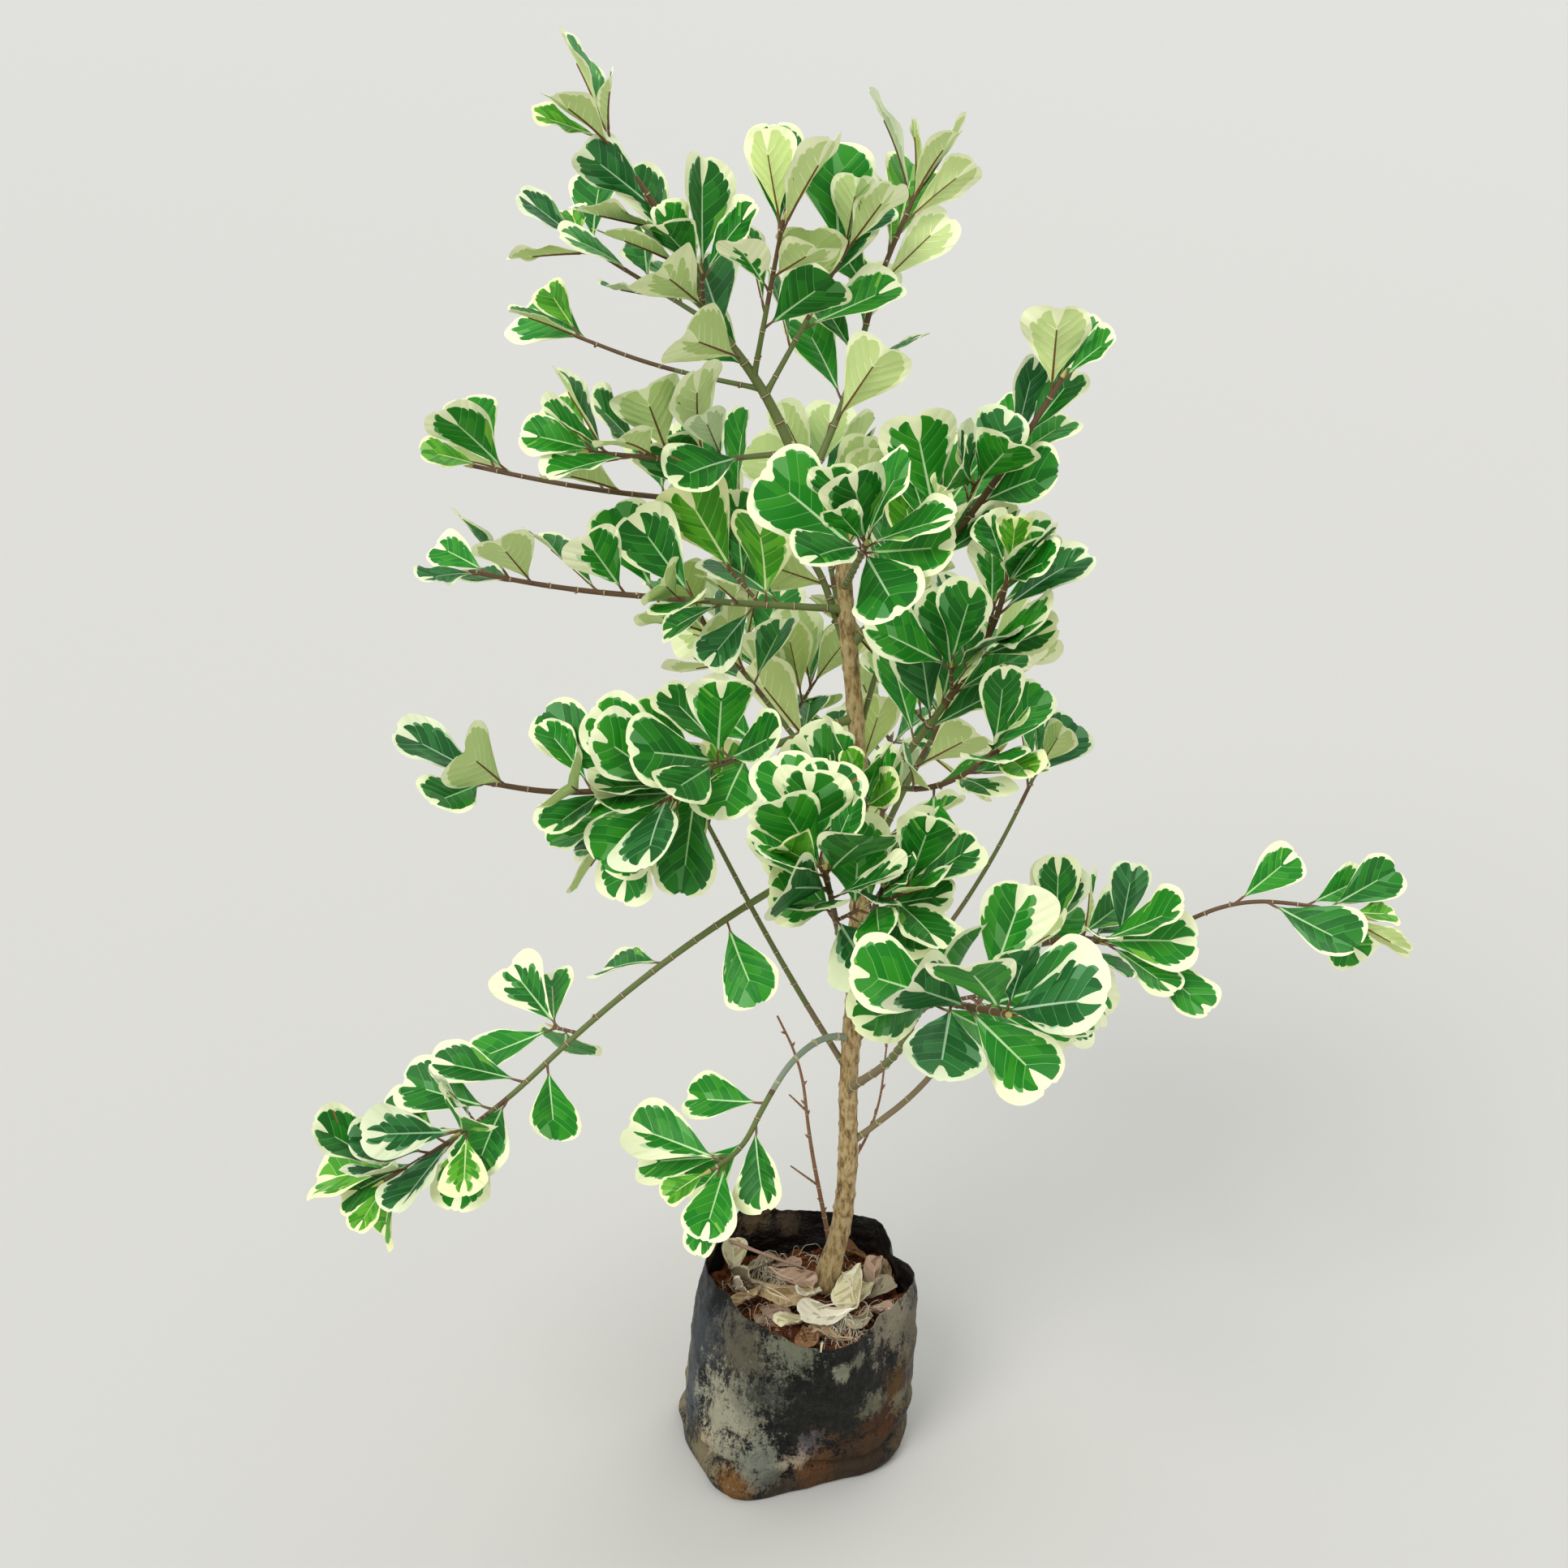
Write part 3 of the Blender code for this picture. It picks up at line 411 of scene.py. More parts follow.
LIMBS = (
    Limb.of("leader", "trunk", 0, (46, 15, 100, 58, 5), ((8, 180, 86), (36, 187, 48), (74, 188, 67), (68, 187, 51),
            (47, 190, 70), (70, 187, 53)), ((110, 160, 4, 78), (160, 200, 3, 59), (200, 250, 4, 58),
            (290, 300, 4, 5)), ((180, 88), (230, 23))),
    Limb.of("left_arch", "trunk", 332, (27, 17, 85, 58, -2), ((20, 214, 22), (32, 220, -12), (42, 232, -34),
            (42, 237, -40), (24, 222, -10)), ((90, 130, 3, 85), (140, 157, 5, 32))),
    Limb.of("left_steep", "trunk", 303, (24, 15, 205, 50, 1), ((80, 169, 59), (170, 168, 63)), ((210, 250, 5, 97),)),
    Limb.of("left_low", "trunk", 488, (29, 16, 95, 58, 0), ((100, 206, -20), (120, 208, -27), (110, 212, -34),
            (70, 209, -20)), ((100, 180, 2, 110), (260, 310, 3, 69), (310, 350, 4, 51), (350, 390, 4, 85),
            (385, 397, 4, 65)), ((240, 104), (320, 106))),
    Limb.of("left_middle", "trunk", 579, (30, 17, 60, 61, 5), ((60, 201, -12), (80, 202, -12), (70, 202, 0),
            (70, 203, 18)), ((65, 110, 4, 100), (110, 150, 4, 55), (160, 210, 4, 11), (250, 278, 4, 86)), ((90, 119),
            (130, 45))),
    Limb.of("left_hanging", "trunk", 540, (24, 15, 110, 62, -6), ((60, 205, 9), (60, 207, 0), (60, 210, -14)),
            ((120, 150, 4, 81), (160, 178, 4, 110))),
    Limb.of("left_inner", "trunk", 500, (24, 15, 115, 56, 1), ((100, 160, 50), (80, 165, 50)), ((120, 150, 4, 66),
            (160, 178, 4, 82))),
    Limb.of("left_upper", "trunk", 656, (26, 15, 35, 58, 6), ((120, 193, 7), (80, 194, 9), (55, 195, 15)),
            ((40, 80, 4, 65), (80, 120, 4, 55), (120, 180, 3, 51), (210, 252, 5, 122)), ((60, 66),)),
    Limb.of("left_high", "trunk", 619, (27, 15, 120, 58, 3), ((100, 158, 70), (30, 176, 28), (75, 178, 3),
            (75, 178, 9), (35, 178, 12)), ((130, 170, 3, 70), (180, 240, 3, 85), (280, 312, 4, 47))),
    Limb.of("left_short", "leader", 764, (21, 14, 0, 55, 9), ((60, 193, -3), (75, 193, 8)), ((20, 70, 3, 40),
            (80, 110, 4, 55), (120, 133, 4, 22))),
    Limb.of("left_thin", "leader", 806, (18, 12, 0, 58, 3), ((80, 166, 9), (50, 165, 18)), ((115, 129, 3, 79),)),
    Limb.of("top_left", "leader", 847, (17, 12, 0, 52, 5), ((105, 162, 28),), ((20, 70, 4, 36), (90, 104, 4, 94))),
    Limb.of("top_right", "leader", 802, (20, 13, 0, 55, 5), ((110, 11, 60),), ((30, 80, 4, 25), (95, 109, 4, 47))),
    Limb.of("top_middle", "leader", 814, (20, 13, 0, 58, 7), ((115, 292, 64),), ((30, 80, 4, 5), (100, 114, 4, 13))),
    Limb.of("right_crown", "leader", 745, (28, 15, 30, 58, 6), ((70, 30, 63), (60, 40, 72), (70, 28, 63)),
            ((35, 90, 4, 57), (90, 140, 4, 53), (150, 180, 3, 90), (185, 199, 4, 22)), ((120, 51),)),
    Limb.of("front_crown", "trunk", 672, (26, 20, 125, 64, 4), ((170, 273, 24),), ((130, 150, 4, 76),
            (155, 169, 5, 82))),
    Limb.of("right_upper", "trunk", 630, (33, 19, 50, 59, 6), ((80, 345, 48), (80, 342, 54), (75, 336, 60)),
            ((55, 100, 4, 128), (100, 140, 4, 104), (150, 190, 4, 112), (220, 234, 3, 32)), ((80, 13), (120, 122))),
    Limb.of("right_inner", "trunk", 563, (22, 15, 0, 55, 5), ((130, 55, 61),), ((50, 100, 4, 36),
            (110, 129, 4, 122))),
    Limb.of("right_middle", "trunk", 510, (31, 17, 60, 58, 4), ((120, 329, 54), (60, 322, 58), (50, 292, 68)),
            ((65, 110, 4, 13), (110, 160, 4, 35), (160, 200, 3, 126), (210, 229, 4, 84)), ((120, 3), (170, 71))),
    Limb.of("right_short", "trunk", 532, (24, 16, 0, 58, 4), ((90, 310, 10), (45, 330, 42)), ((50, 80, 3, 99),
            (90, 120, 3, 88), (120, 134, 4, 34))),
    Limb.of("right_rising", "trunk", 323, (22, 14, 200, 50, 2), ((170, 27, 45), (85, 36, 57)), ((230, 253, 4, 47),)),
    Limb.of("right_long", "trunk", 243, (25, 13, 185, 56, 3), ((85, 357, 42), (75, 354, 66), (42, 356, 56),
            (40, 357, 22), (52, 357, -18), (20, 356, 36), (56, 357, 26), (40, 357, -3), (45, 357, -12)),
            ((190, 220, 3, 103), (220, 250, 4, 107), (250, 290, 4, 26), (350, 400, 2, 17), (410, 444, 5, 130)),
            ((240, 2),)),
    Limb.of("front_right", "trunk", 290, (32, 21, 245, 68, 1), ((115, 290, 38), (130, 275, 46), (100, 286, 22),
            (50, 285, 22)), ((250, 300, 4, 68), (300, 350, 4, 66), (380, 394, 4, 95)), ((280, 124),)),
    Limb.of("front_low", "trunk", 357, (30, 18, 150, 62, 3), ((100, 262, 46), (160, 262, 45)), ((160, 190, 3, 108),
            (200, 230, 4, 61), (245, 259, 4, 1)), ((170, 105), (220, 85))),
    Limb.of("front_fork", "trunk", 405, (27, 17, 125, 60, 4), ((100, 272, 33), (115, 274, 37)), ((130, 170, 3, 105),
            (170, 200, 3, 71), (200, 214, 4, 126)), ((170, 105),)),
    Limb.of("front_middle", "trunk", 500, (24, 16, 0, 56, 9), ((85, 268, 28),), ((40, 70, 3, 76), (70, 84, 5, 16))),
    Limb.of("back_low", "trunk", 395, (28, 15, 90, 58, 3), ((120, 78, 32), (120, 84, 14)), ((100, 160, 4, 89),
            (160, 220, 4, 9), (225, 239, 4, 108)), ((140, 34),)),
    Limb.of("back_left", "trunk", 470, (27, 15, 90, 58, 3), ((130, 112, 34), (110, 116, 18)), ((100, 160, 4, 42),
            (160, 220, 4, 52), (225, 239, 4, 69)), ((140, 72),)),
    Limb.of("back_right", "trunk", 455, (27, 15, 90, 58, 3), ((130, 60, 36), (110, 60, 20)), ((100, 160, 4, 55),
            (160, 220, 4, 129), (225, 239, 4, 127)), ((140, 50),)),
    Limb.of("back_upper", "trunk", 600, (25, 15, 70, 58, 4), ((120, 100, 38), (90, 96, 24)), ((80, 130, 4, 69),
            (130, 190, 4, 106), (195, 209, 4, 3)), ((120, 104),)),
)


def heading(bearing: float, rise: float) -> Vector:
    """The unit vector with this bearing and this rise above level, in degrees."""
    flat, angle = math.cos(math.radians(rise)), math.radians(bearing)
    return Vector((flat * math.cos(angle), flat * math.sin(angle), math.sin(math.radians(rise))))


class Course:
    """A centreline walked along stretches, its direction turning smoothly from one to the next."""

    def __init__(self, start: Sequence[float], stretches: Sequence[tuple]) -> None:
        """Walks the stretches from a start.

        Args:
            start: Where it begins.
            stretches: (length, bearing, rise) each.
        """
        self.length = sum(stretch[0] for stretch in stretches)
        self.middles = []
        done = 0.0
        for length, bearing, rise in stretches:
            self.middles.append((done + length / 2, heading(bearing, rise)))
            done += length
        steps = max(2, math.ceil(self.length / STEP))
        self.step = self.length / steps
        self.tangents = [self.turned(i * self.step) for i in range(steps + 1)]
        self.points = [Vector(start)]
        self.sides = [self.tangents[0].orthogonal().normalized()]
        for before, after in zip(self.tangents, self.tangents[1:]):
            self.points.append(self.points[-1] + (before + after) * (self.step / 2))
            side = self.sides[-1]
            self.sides.append((side - after * side.dot(after)).normalized())

    def turned(self, distance: float) -> Vector:
        """The direction, blended between the middles of the stretches on either side.

        Args:
            distance: How far along it is.

        Returns:
            The unit vector.
        """
        for (near, first), (far, second) in zip(self.middles, self.middles[1:]):
            if distance < far:
                share = min(max((distance - near) / (far - near), 0.0), 1.0)
                return first.lerp(second, share).normalized()
        return self.middles[-1][1].copy()

    def place(self, distance: float) -> tuple[int, float]:
        """The step that this distance falls in, and how far through it."""
        steps = min(max(distance / self.step, 0.0), len(self.points) - 1.001)
        return int(steps), steps - int(steps)

    def at(self, distance: float) -> tuple[Vector, Vector]:
        """The point and the direction at a distance.

        Args:
            distance: How far along it is.

        Returns:
            The two.
        """
        i, share = self.place(distance)
        tangent = self.tangents[i].lerp(self.tangents[i + 1], share).normalized()
        return self.points[i].lerp(self.points[i + 1], share), tangent

    def spokes(self, distance: float, count: int) -> list[Vector]:
        """Unit vectors evenly round the course, carried along it without a twist.

        Args:
            distance: How far along they are.
            count: How many.

        Returns:
            The vectors.
        """
        i, share = self.place(distance)
        tangent = self.at(distance)[1]
        side = self.sides[i].lerp(self.sides[i + 1], share)
        across = (side - tangent * side.dot(tangent)).normalized()
        beside = tangent.cross(across)
        turns = [2 * math.pi * k / count for k in range(count)]
        return [across * math.cos(turn) + beside * math.sin(turn) for turn in turns]

    def reach(self, height: float) -> float:
        """The distance at which the course passes a height.

        Args:
            height: The height.

        Returns:
            The distance, or the whole length where it stays below.
        """
        for i, point in enumerate(self.points[1:], 1):
            if point.z >= height:
                below = self.points[i - 1].z
                return (i - 1 + (height - below) / (point.z - below)) * self.step
        return self.length


def even(first: float, last: float, count: int) -> list[float]:
    """Distances that part this stretch evenly into count pieces."""
    return [first + (last - first) * i / count for i in range(count + 1)]


def tapered(limb: Limb, length: float, distance: float) -> float:
    """The limb's radius at this distance along it."""
    return limb.root + (limb.tip - limb.root) * (distance / length) ** 0.85


def trunk_radius(distance: float, length: float) -> float:
    """The trunk's radius, with the flare at its foot."""
    return 0.0080 - 0.0026 * (distance / length) ** 0.7 + 0.0045 * math.exp(-distance / 0.014)


def skinned(rings: Sequence[Sequence[Vector]]) -> Solid:
    """A closed solid of rings of equal count joined in order.

    Args:
        rings: The rings, each counter-clockwise seen from the last.

    Returns:
        The points, and the faces as their numbers.
    """
    count, last = len(rings[0]), (len(rings) - 1) * len(rings[0])
    faces = [(a, b, b + count, a + count) for level in range(0, last, count)
             for a, b in zip(range(level, level + count), [*range(level + 1, level + count), level])]
    faces += [tuple(reversed(range(count))), tuple(range(last, last + count))]
    return [point for ring in rings for point in ring], faces


def tube(course: Course, distances: Sequence[float], radius: Callable[[float], float], sides: int) -> BVHTree:
    """The search tree of a closed tube along a course, with a ring at each distance."""
    return BVHTree.FromPolygons(*skinned([[course.at(d)[0] + spoke * radius(d) for spoke in course.spokes(d, sides)]
                                          for d in distances]))


@dataclass
class Leaf:
    """One leaf of the growing rule.

    Args:
        root: The point inside its twig that its stalk grows from.
        direction: Where it points.
        normal: Its upper side.
        length: The length of its blade.
        width: The width of its blade.
        cup: How much its edges rise, for each metre from the midrib.
        bend: How far its tip drops, as a share of its length.
    """

    root: Vector
    direction: Vector
    normal: Vector
    length: float
    width: float
    cup: float
    bend: float

    @property
    def foot(self) -> Vector:
        """Where the stalk ends and the blade begins."""
        return self.root + self.direction * PETIOLE

    @property
    def beside(self) -> Vector:
        """The direction across the blade."""
        return self.direction.cross(self.normal)

    def point(self, along: float, across: float, lift: float = 0.0) -> Vector:
        """A point of the blade.

        Args:
            along: From its foot at 0 to its top at 1.
            across: From edge to edge at -1 and 1.
            lift: How far over its upper face.

        Returns:
            The point.
        """
        side = across * self.width / 2
        raised = self.cup * abs(side) - self.bend * self.length * along * along + lift
        return self.foot + self.direction * (along * self.length) + self.beside * side + self.normal * raised

    def hull(self, fat: float = 0.0, whole: bool = True) -> BVHTree:
        """The search tree of the wedge that the growing rule keeps free for this leaf.

        Args:
            fat: How far it is grown all round.
            whole: Whether its stalk counts too.

        Returns:
            The tree.
        """
        thin, half, wide = 0.0009 + fat, 0.0008 + fat, 1.0 + 2 * fat / self.width
        corners = (-self.beside * thin, -self.normal * thin, self.beside * thin)
        points = [self.foot + corner for corner in corners]
        outline = ((0.66, -1.0), (0.98, -0.56), (0.98, 0.56), (0.66, 1.0))
        points += [self.point(along, across * wide) for along, across in outline]
        points += [self.point(0.58, 0.0, half), self.point(0.58, 0.0, -half)]
        faces: list[tuple[int, ...]] = []
        for hub, rim in ((7, (0, 3, 4, 5, 6, 2)), (8, (1, 2, 6, 5, 4, 3, 0))):
            faces += [(hub, b, a) for a, b in zip(rim, rim[1:] + rim[:1])]
        if whole:
            points += [self.root + corner for corner in corners]
            faces += [(9, 10, 1, 0), (10, 11, 2, 1), (11, 9, 0, 2), (11, 10, 9)]
        else:
            faces.append((0, 1, 2))
        return BVHTree.FromPolygons(points, faces)


# Its random numbers, its twig, how far along it is, its bearing round the twig and its angle from it
Bud = tuple[random.Random, Course, float, float, float]


def drawn_leaf(bud: Bud, limb: Limb, attempt: int) -> Leaf:
    """The leaf of a bud, turned further to either side with each attempt.

    Args:
        bud: The bud.
        limb: The limb that it belongs to.
        attempt: How many were drawn before it.

    Returns:
        The leaf.
    """
    rng, twig, distance, turn, opening = bud
    point, tangent = twig.at(distance)
    turn += math.radians(attempt * 18 * (-1) ** attempt)
    across = tangent.cross(UP)
    if across.length < 0.25:
        across = tangent.cross(Vector((0.0, 1.0, 0.0)))
    across.normalize()
    above = across.cross(tangent)
    spoke = across * math.cos(turn) + above * math.sin(turn)
    direction = tangent * math.cos(opening) + spoke * math.sin(opening) + UP * limb.lift
    direction += Vector([rng.uniform(-0.3, 0.3) for _ in range(3)])
    direction.normalize()
    face = UP - spoke * 0.25 + tangent * 0.15
    normal = (face - direction * face.dot(direction)).normalized()
    normal.rotate(Matrix.Rotation(math.radians(rng.uniform(-55, 55)), 3, direction))
    length = limb.size * rng.uniform(0.80, 1.15)
    width = length * rng.uniform(0.60, 0.90)
    leaf = Leaf(point, direction, normal, length, width, rng.uniform(0.08, 0.40), rng.uniform(-0.06, 0.20))
    leaf.length *= 1 - 0.02 * attempt
    return leaf


def zone_buds(course: Course, zone: tuple) -> list[Bud]:
    """Where the leaves of one zone leave the limb: round it where it is steep, else to either side.

    Args:
        course: The limb's course.
        zone: (from, to, leaves, seed).

    Returns:
        The buds.
    """
    first, last, count, seed = zone
    steep = abs(course.at((first + last) / 2)[1].z) > math.sin(math.radians(45.0))
    turn = random.Random(seed).uniform(0, 360)
    if not steep:
        turn = 180 * round(turn / 360) + random.Random(seed + 1).uniform(-25, 25)
    buds = []
    for i in range(count):
        rng = random.Random(seed * 64 + i)
        distance = first + (last - first) * (i + rng.uniform(0.3, 0.7)) / count
        opening = 62 - 26 * (distance / course.length) ** 4 + rng.uniform(-14, 14)
        buds.append((rng, course, distance, math.radians(turn), math.radians(opening)))
        turn += GOLDEN if steep else 180 + rng.uniform(-30, 30)
    return buds


def spur_course(course: Course, at: float, seed: int) -> Course:
    """The course of one side twig.

    Args:
        course: The limb's course.
        at: How far along it the twig begins.
        seed: What it is drawn from.

    Returns:
        The twig's course.
    """
    rng = random.Random(seed)
    point, tangent = course.at(at)
    bearing = math.degrees(math.atan2(tangent.y, tangent.x)) + rng.choice((-1, 1)) * rng.uniform(35, 80)
    rise = math.degrees(math.asin(tangent.z)) + rng.uniform(-15, 35)
    return Course(point, ((rng.uniform(0.022, 0.036), bearing, min(rise, 80)),))


def spur_buds(course: Course, seed: int) -> list[Bud]:
    """Where the leaves of a side twig leave it.

    Args:
        course: The twig's course.
        seed: What they are drawn from.

    Returns:
        The buds.
    """
    turn = random.Random(seed + 1).uniform(0, 360)
    buds = []
    for i, share in enumerate(SPUR_LEAVES):
        rng = random.Random(seed * 64 + i)
        opening = math.radians(rng.uniform(22, 60))
        buds.append((rng, course, course.length * share, math.radians(turn), opening))
        turn += GOLDEN
    return buds


@dataclass(frozen=True)
class Mass:
    """What one limb carries: its side twigs and its leaves."""

    limb: Limb
    spurs: list[Course]
    leaves: list[Leaf]


class Growth:
    """Grows the leaf masses one after another, each leaf and twig clear of every limb and every blade."""

    def __init__(self) -> None:
        """Walks every limb, raises what the leaves stay clear of, and grows them."""
        self.trunk = Course((*TRUNK_FOOT, SOIL_LEVEL + GAP), TRUNK_STRETCHES)
        self.sucker = Course((*SUCKER_FOOT, SOIL_LEVEL + GAP), SUCKER_STRETCHES)
        self.dry_twig = Course(self.trunk.at(self.trunk.reach(DRY_TWIG_HEIGHT))[0], DRY_TWIG_STRETCHES)
        self.courses = {"trunk": self.trunk}
        for limb in LIMBS:
            parent = self.courses[limb.parent]
            point, tangent = parent.at(parent.reach(limb.height) if limb.height else parent.length)
            self.courses[limb.name] = Course(point if limb.height else point + tangent * GAP, limb.stretches)
        self.obstacles = self.standing()
        self.placed: list[tuple[str, BVHTree, BVHTree, Vector]] = []
        self.masses = [self.mass(limb) for limb in LIMBS]

    def standing(self) -> list[tuple[str, BVHTree]]:
        """What stands before the leaves grow.

        Returns:
            The names and search trees of trunk, dead wood, bag and every limb.
        """
        trunk, twig, sucker = self.trunk, self.dry_twig, self.sucker
        rings = [0.0, 0.005, 0.011, 0.020] + even(0.040, trunk.length, 11)
        found = [("trunk", tube(trunk, rings, lambda d: trunk_radius(d, trunk.length), 12)),
                 ("dry_twig", tube(twig, even(0, twig.length, 3), lambda d: 0.0012 - 0.0006 * d / twig.length, 5)),
                 ("dead_sucker", tube(sucker, even(0, sucker.length, 6), lambda _: 0.003, 5)),
                 ("grow_bag", BVHTree.FromPolygons(*skinned(GrowBag().coarse())))]
        for limb in LIMBS:
            course = self.courses[limb.name]
            rings = [0.0] + [d for d in self.stations(limb, course) if 0.0 < d < course.length] + [course.length]
            found.append((limb.name, tube(course, rings, lambda d: tapered(limb, course.length, d) + CLEARANCE, 6)))
        return found

    @staticmethod
    def stations(limb: Limb, course: Course) -> list[float]:
        """Where a limb's rings lie: closer together where it bends, with one at either side of its bare end.

        Args:
            limb: The limb.
            course: Its course.

        Returns:
            The distances along it.
        """
        rings = [0.0]
        for i, tangent in enumerate(course.tangents):
            away = i * course.step - rings[-1]
            before = course.at(rings[-1])[1]
            if away > 0.036 or (away > STEP and before.angle(tangent) > math.radians(11.0)):
                rings.append(i * course.step)
        rings = [d for d in rings[1:] if abs(d - limb.bare) > STEP * 1.5 and course.length - d > STEP * 1.5]
        return sorted(rings + ([limb.bare, limb.bare + GAP] if limb.bare else []))

    def clear(self, name: str, leaf: Leaf) -> bool:
        """Whether a leaf touches no limb and no blade, apart from its stalk's own twig.

        Args:
            name: The limb that carries it.
            leaf: The leaf.

        Returns:
            Whether it is clear.
        """
        whole, blade = leaf.hull(CLEARANCE), leaf.hull(CLEARANCE, whole=False)
        if any((blade if owner == name else whole).overlap(obstacle) for owner, obstacle in self.obstacles):
            return False
        for owner, placed_whole, placed_blade, root in self.placed:
            if (root - leaf.root).length > 0.2:
                continue
            if owner != name and whole.overlap(placed_whole):
                return False
            if owner == name and (blade.overlap(placed_whole) or whole.overlap(placed_blade)):
                return False
        return True

    def leafed(self, limb: Limb, buds: list[Bud]) -> list[Leaf]:
        """Grows a leaf at each bud that has a clear place for it.

        Args:
            limb: The limb that carries them.
            buds: The buds.

        Returns:
            The leaves.
        """
        leaves = []
        for bud in buds:
            for attempt in range(10):
                leaf = drawn_leaf(bud, limb, attempt)
                if self.clear(limb.name, leaf):
                    self.placed.append((limb.name, leaf.hull(), leaf.hull(whole=False), leaf.root.copy()))
                    leaves.append(leaf)
                    break
        return leaves

    def mass(self, limb: Limb) -> Mass:
        """Grows the side twigs and the leaves of one limb.

        Args:
            limb: The limb.

        Returns:
            What it carries.
        """
        course = self.courses[limb.name]
        spurs: list[Course] = []
        leaves: list[Leaf] = []
        for at, seed in limb.spurs:
            twig = spur_course(course, at, seed)
            solid = tube(twig, (0.011, twig.length), lambda _: 0.0011 + CLEARANCE, 3)
            if any(solid.overlap(other[1]) for other in (*self.obstacles, *self.placed)):
                continue
            spurs.append(twig)
            self.obstacles.append((limb.name, solid))
            leaves += self.leafed(limb, spur_buds(twig, seed))
        for zone in limb.zones:
            leaves += self.leafed(limb, zone_buds(course, zone))
        return Mass(limb, spurs, leaves)


# What a face of a blade shows: above to SPOT but for the under side's SAGE, PALE and RIB
Tissue = IntEnum("Tissue", "DEEP MID GREY LIME CREAM VEIN THREAD SAGE PALE RIB SPOT", start=0)


class Tint(Enum):
    """The four casts that the blades' colours come in: deep, bright, a greyer and bluer copy in painted shade, and
    young; a colour for each tissue.
    """

    DEEP = "0F6410 1E7816 4C8E4A 5AA22E F1F4C6 B4D6A0 5C9F52 BFD386 F2F6C4 6B4424 8C5E30"
    BRIGHT = "157C12 2C8C18 58A04E 74B438 F6F8CC C2E0AA 70B05A CADC90 F6F9CA 704A28 8C5E30"
    # Painted shade: a greyer, bluer copy of the blade colours, for blades that are to look shaded
    DUSKY = "1A5C24 2C7232 568C5A 5E9854 E6ECC4 AECDA6 5C9662 B8CA98 E8EFCA 604A32 84583A"
    YOUNG = "3E8E14 5AA622 8CBC60 A0C844 F6F6BA D8E8A6 90C462 CCDF88 F7F9C6 7A562C 946A34"

    def finishes(self) -> list[Finish]:
        """Fig leaf: a leathery blade with a thin wax, which glints above and is duller below.

        Returns:
            The finish of each tissue.
        """
        below = (Tissue.SAGE, Tissue.PALE, Tissue.RIB)
        return [Finish(f"fig leaf, {tissue.name.lower()}, {self.name.lower()}", colour,
                       0.66 if tissue in below else 0.5, grain=1.6, relief=0.05, gloss=0.3)
                for tissue, colour in zip(Tissue, self.value.split())]


@dataclass(frozen=True)
class Pattern:
    """How one blade's green lies on its cream.

    Args:
        reach: How far the green goes towards the edge, where 1 is the edge.
        tooth: How far its edge steps in and out from vein to vein.
        wedge: How far down the cream wedge comes from the apex, as a share of the length.
        grey: The share of its outer green that is grey-green.
        lean: How much further the green reaches on one side than on the other.
        fade: How likely a stretch of green is to be missing, more so towards the top.
        spot: The row where it has a brown spot, or 0.
    """

    reach: float
    tooth: float
    wedge: float
    grey: float
    lean: float = 0.0
    fade: float = 0.0
    spot: int = 0


# In hundredths, but for the spot's row
PATTERNS = tuple(Pattern(*(value / 100 for value in row[:6]), *row[6:]) for row in (
    (81, 9, 26, 15), (76, 13, 33, 12), (84, 8, 18, 25), (74, 15, 36, 15), (80, 11, 30, 8, 14), (77, 12, 28, 30, -14),
    (86, 7, 0, 15), (88, 6, 0, 35), (83, 9, 22, 8), (64, 18, 34, 20, 42), (60, 20, 33, 15, -46), (79, 13, 20, 50),
    (58, 24, 38, 25, 0, 20), (42, 26, 38, 20, 10, 45), (83, 10, 24, 5, 0, 0, 17), (75, 16, 33, 45, 10, 6, 12),
))
# How often each is dealt: mostly green blades with a cream wedge, few that are mostly cream
DEALT = (6, 6, 5, 5, 5, 4, 4, 4, 5, 2, 2, 3, 1.5, 0.8, 0.6, 0.8)


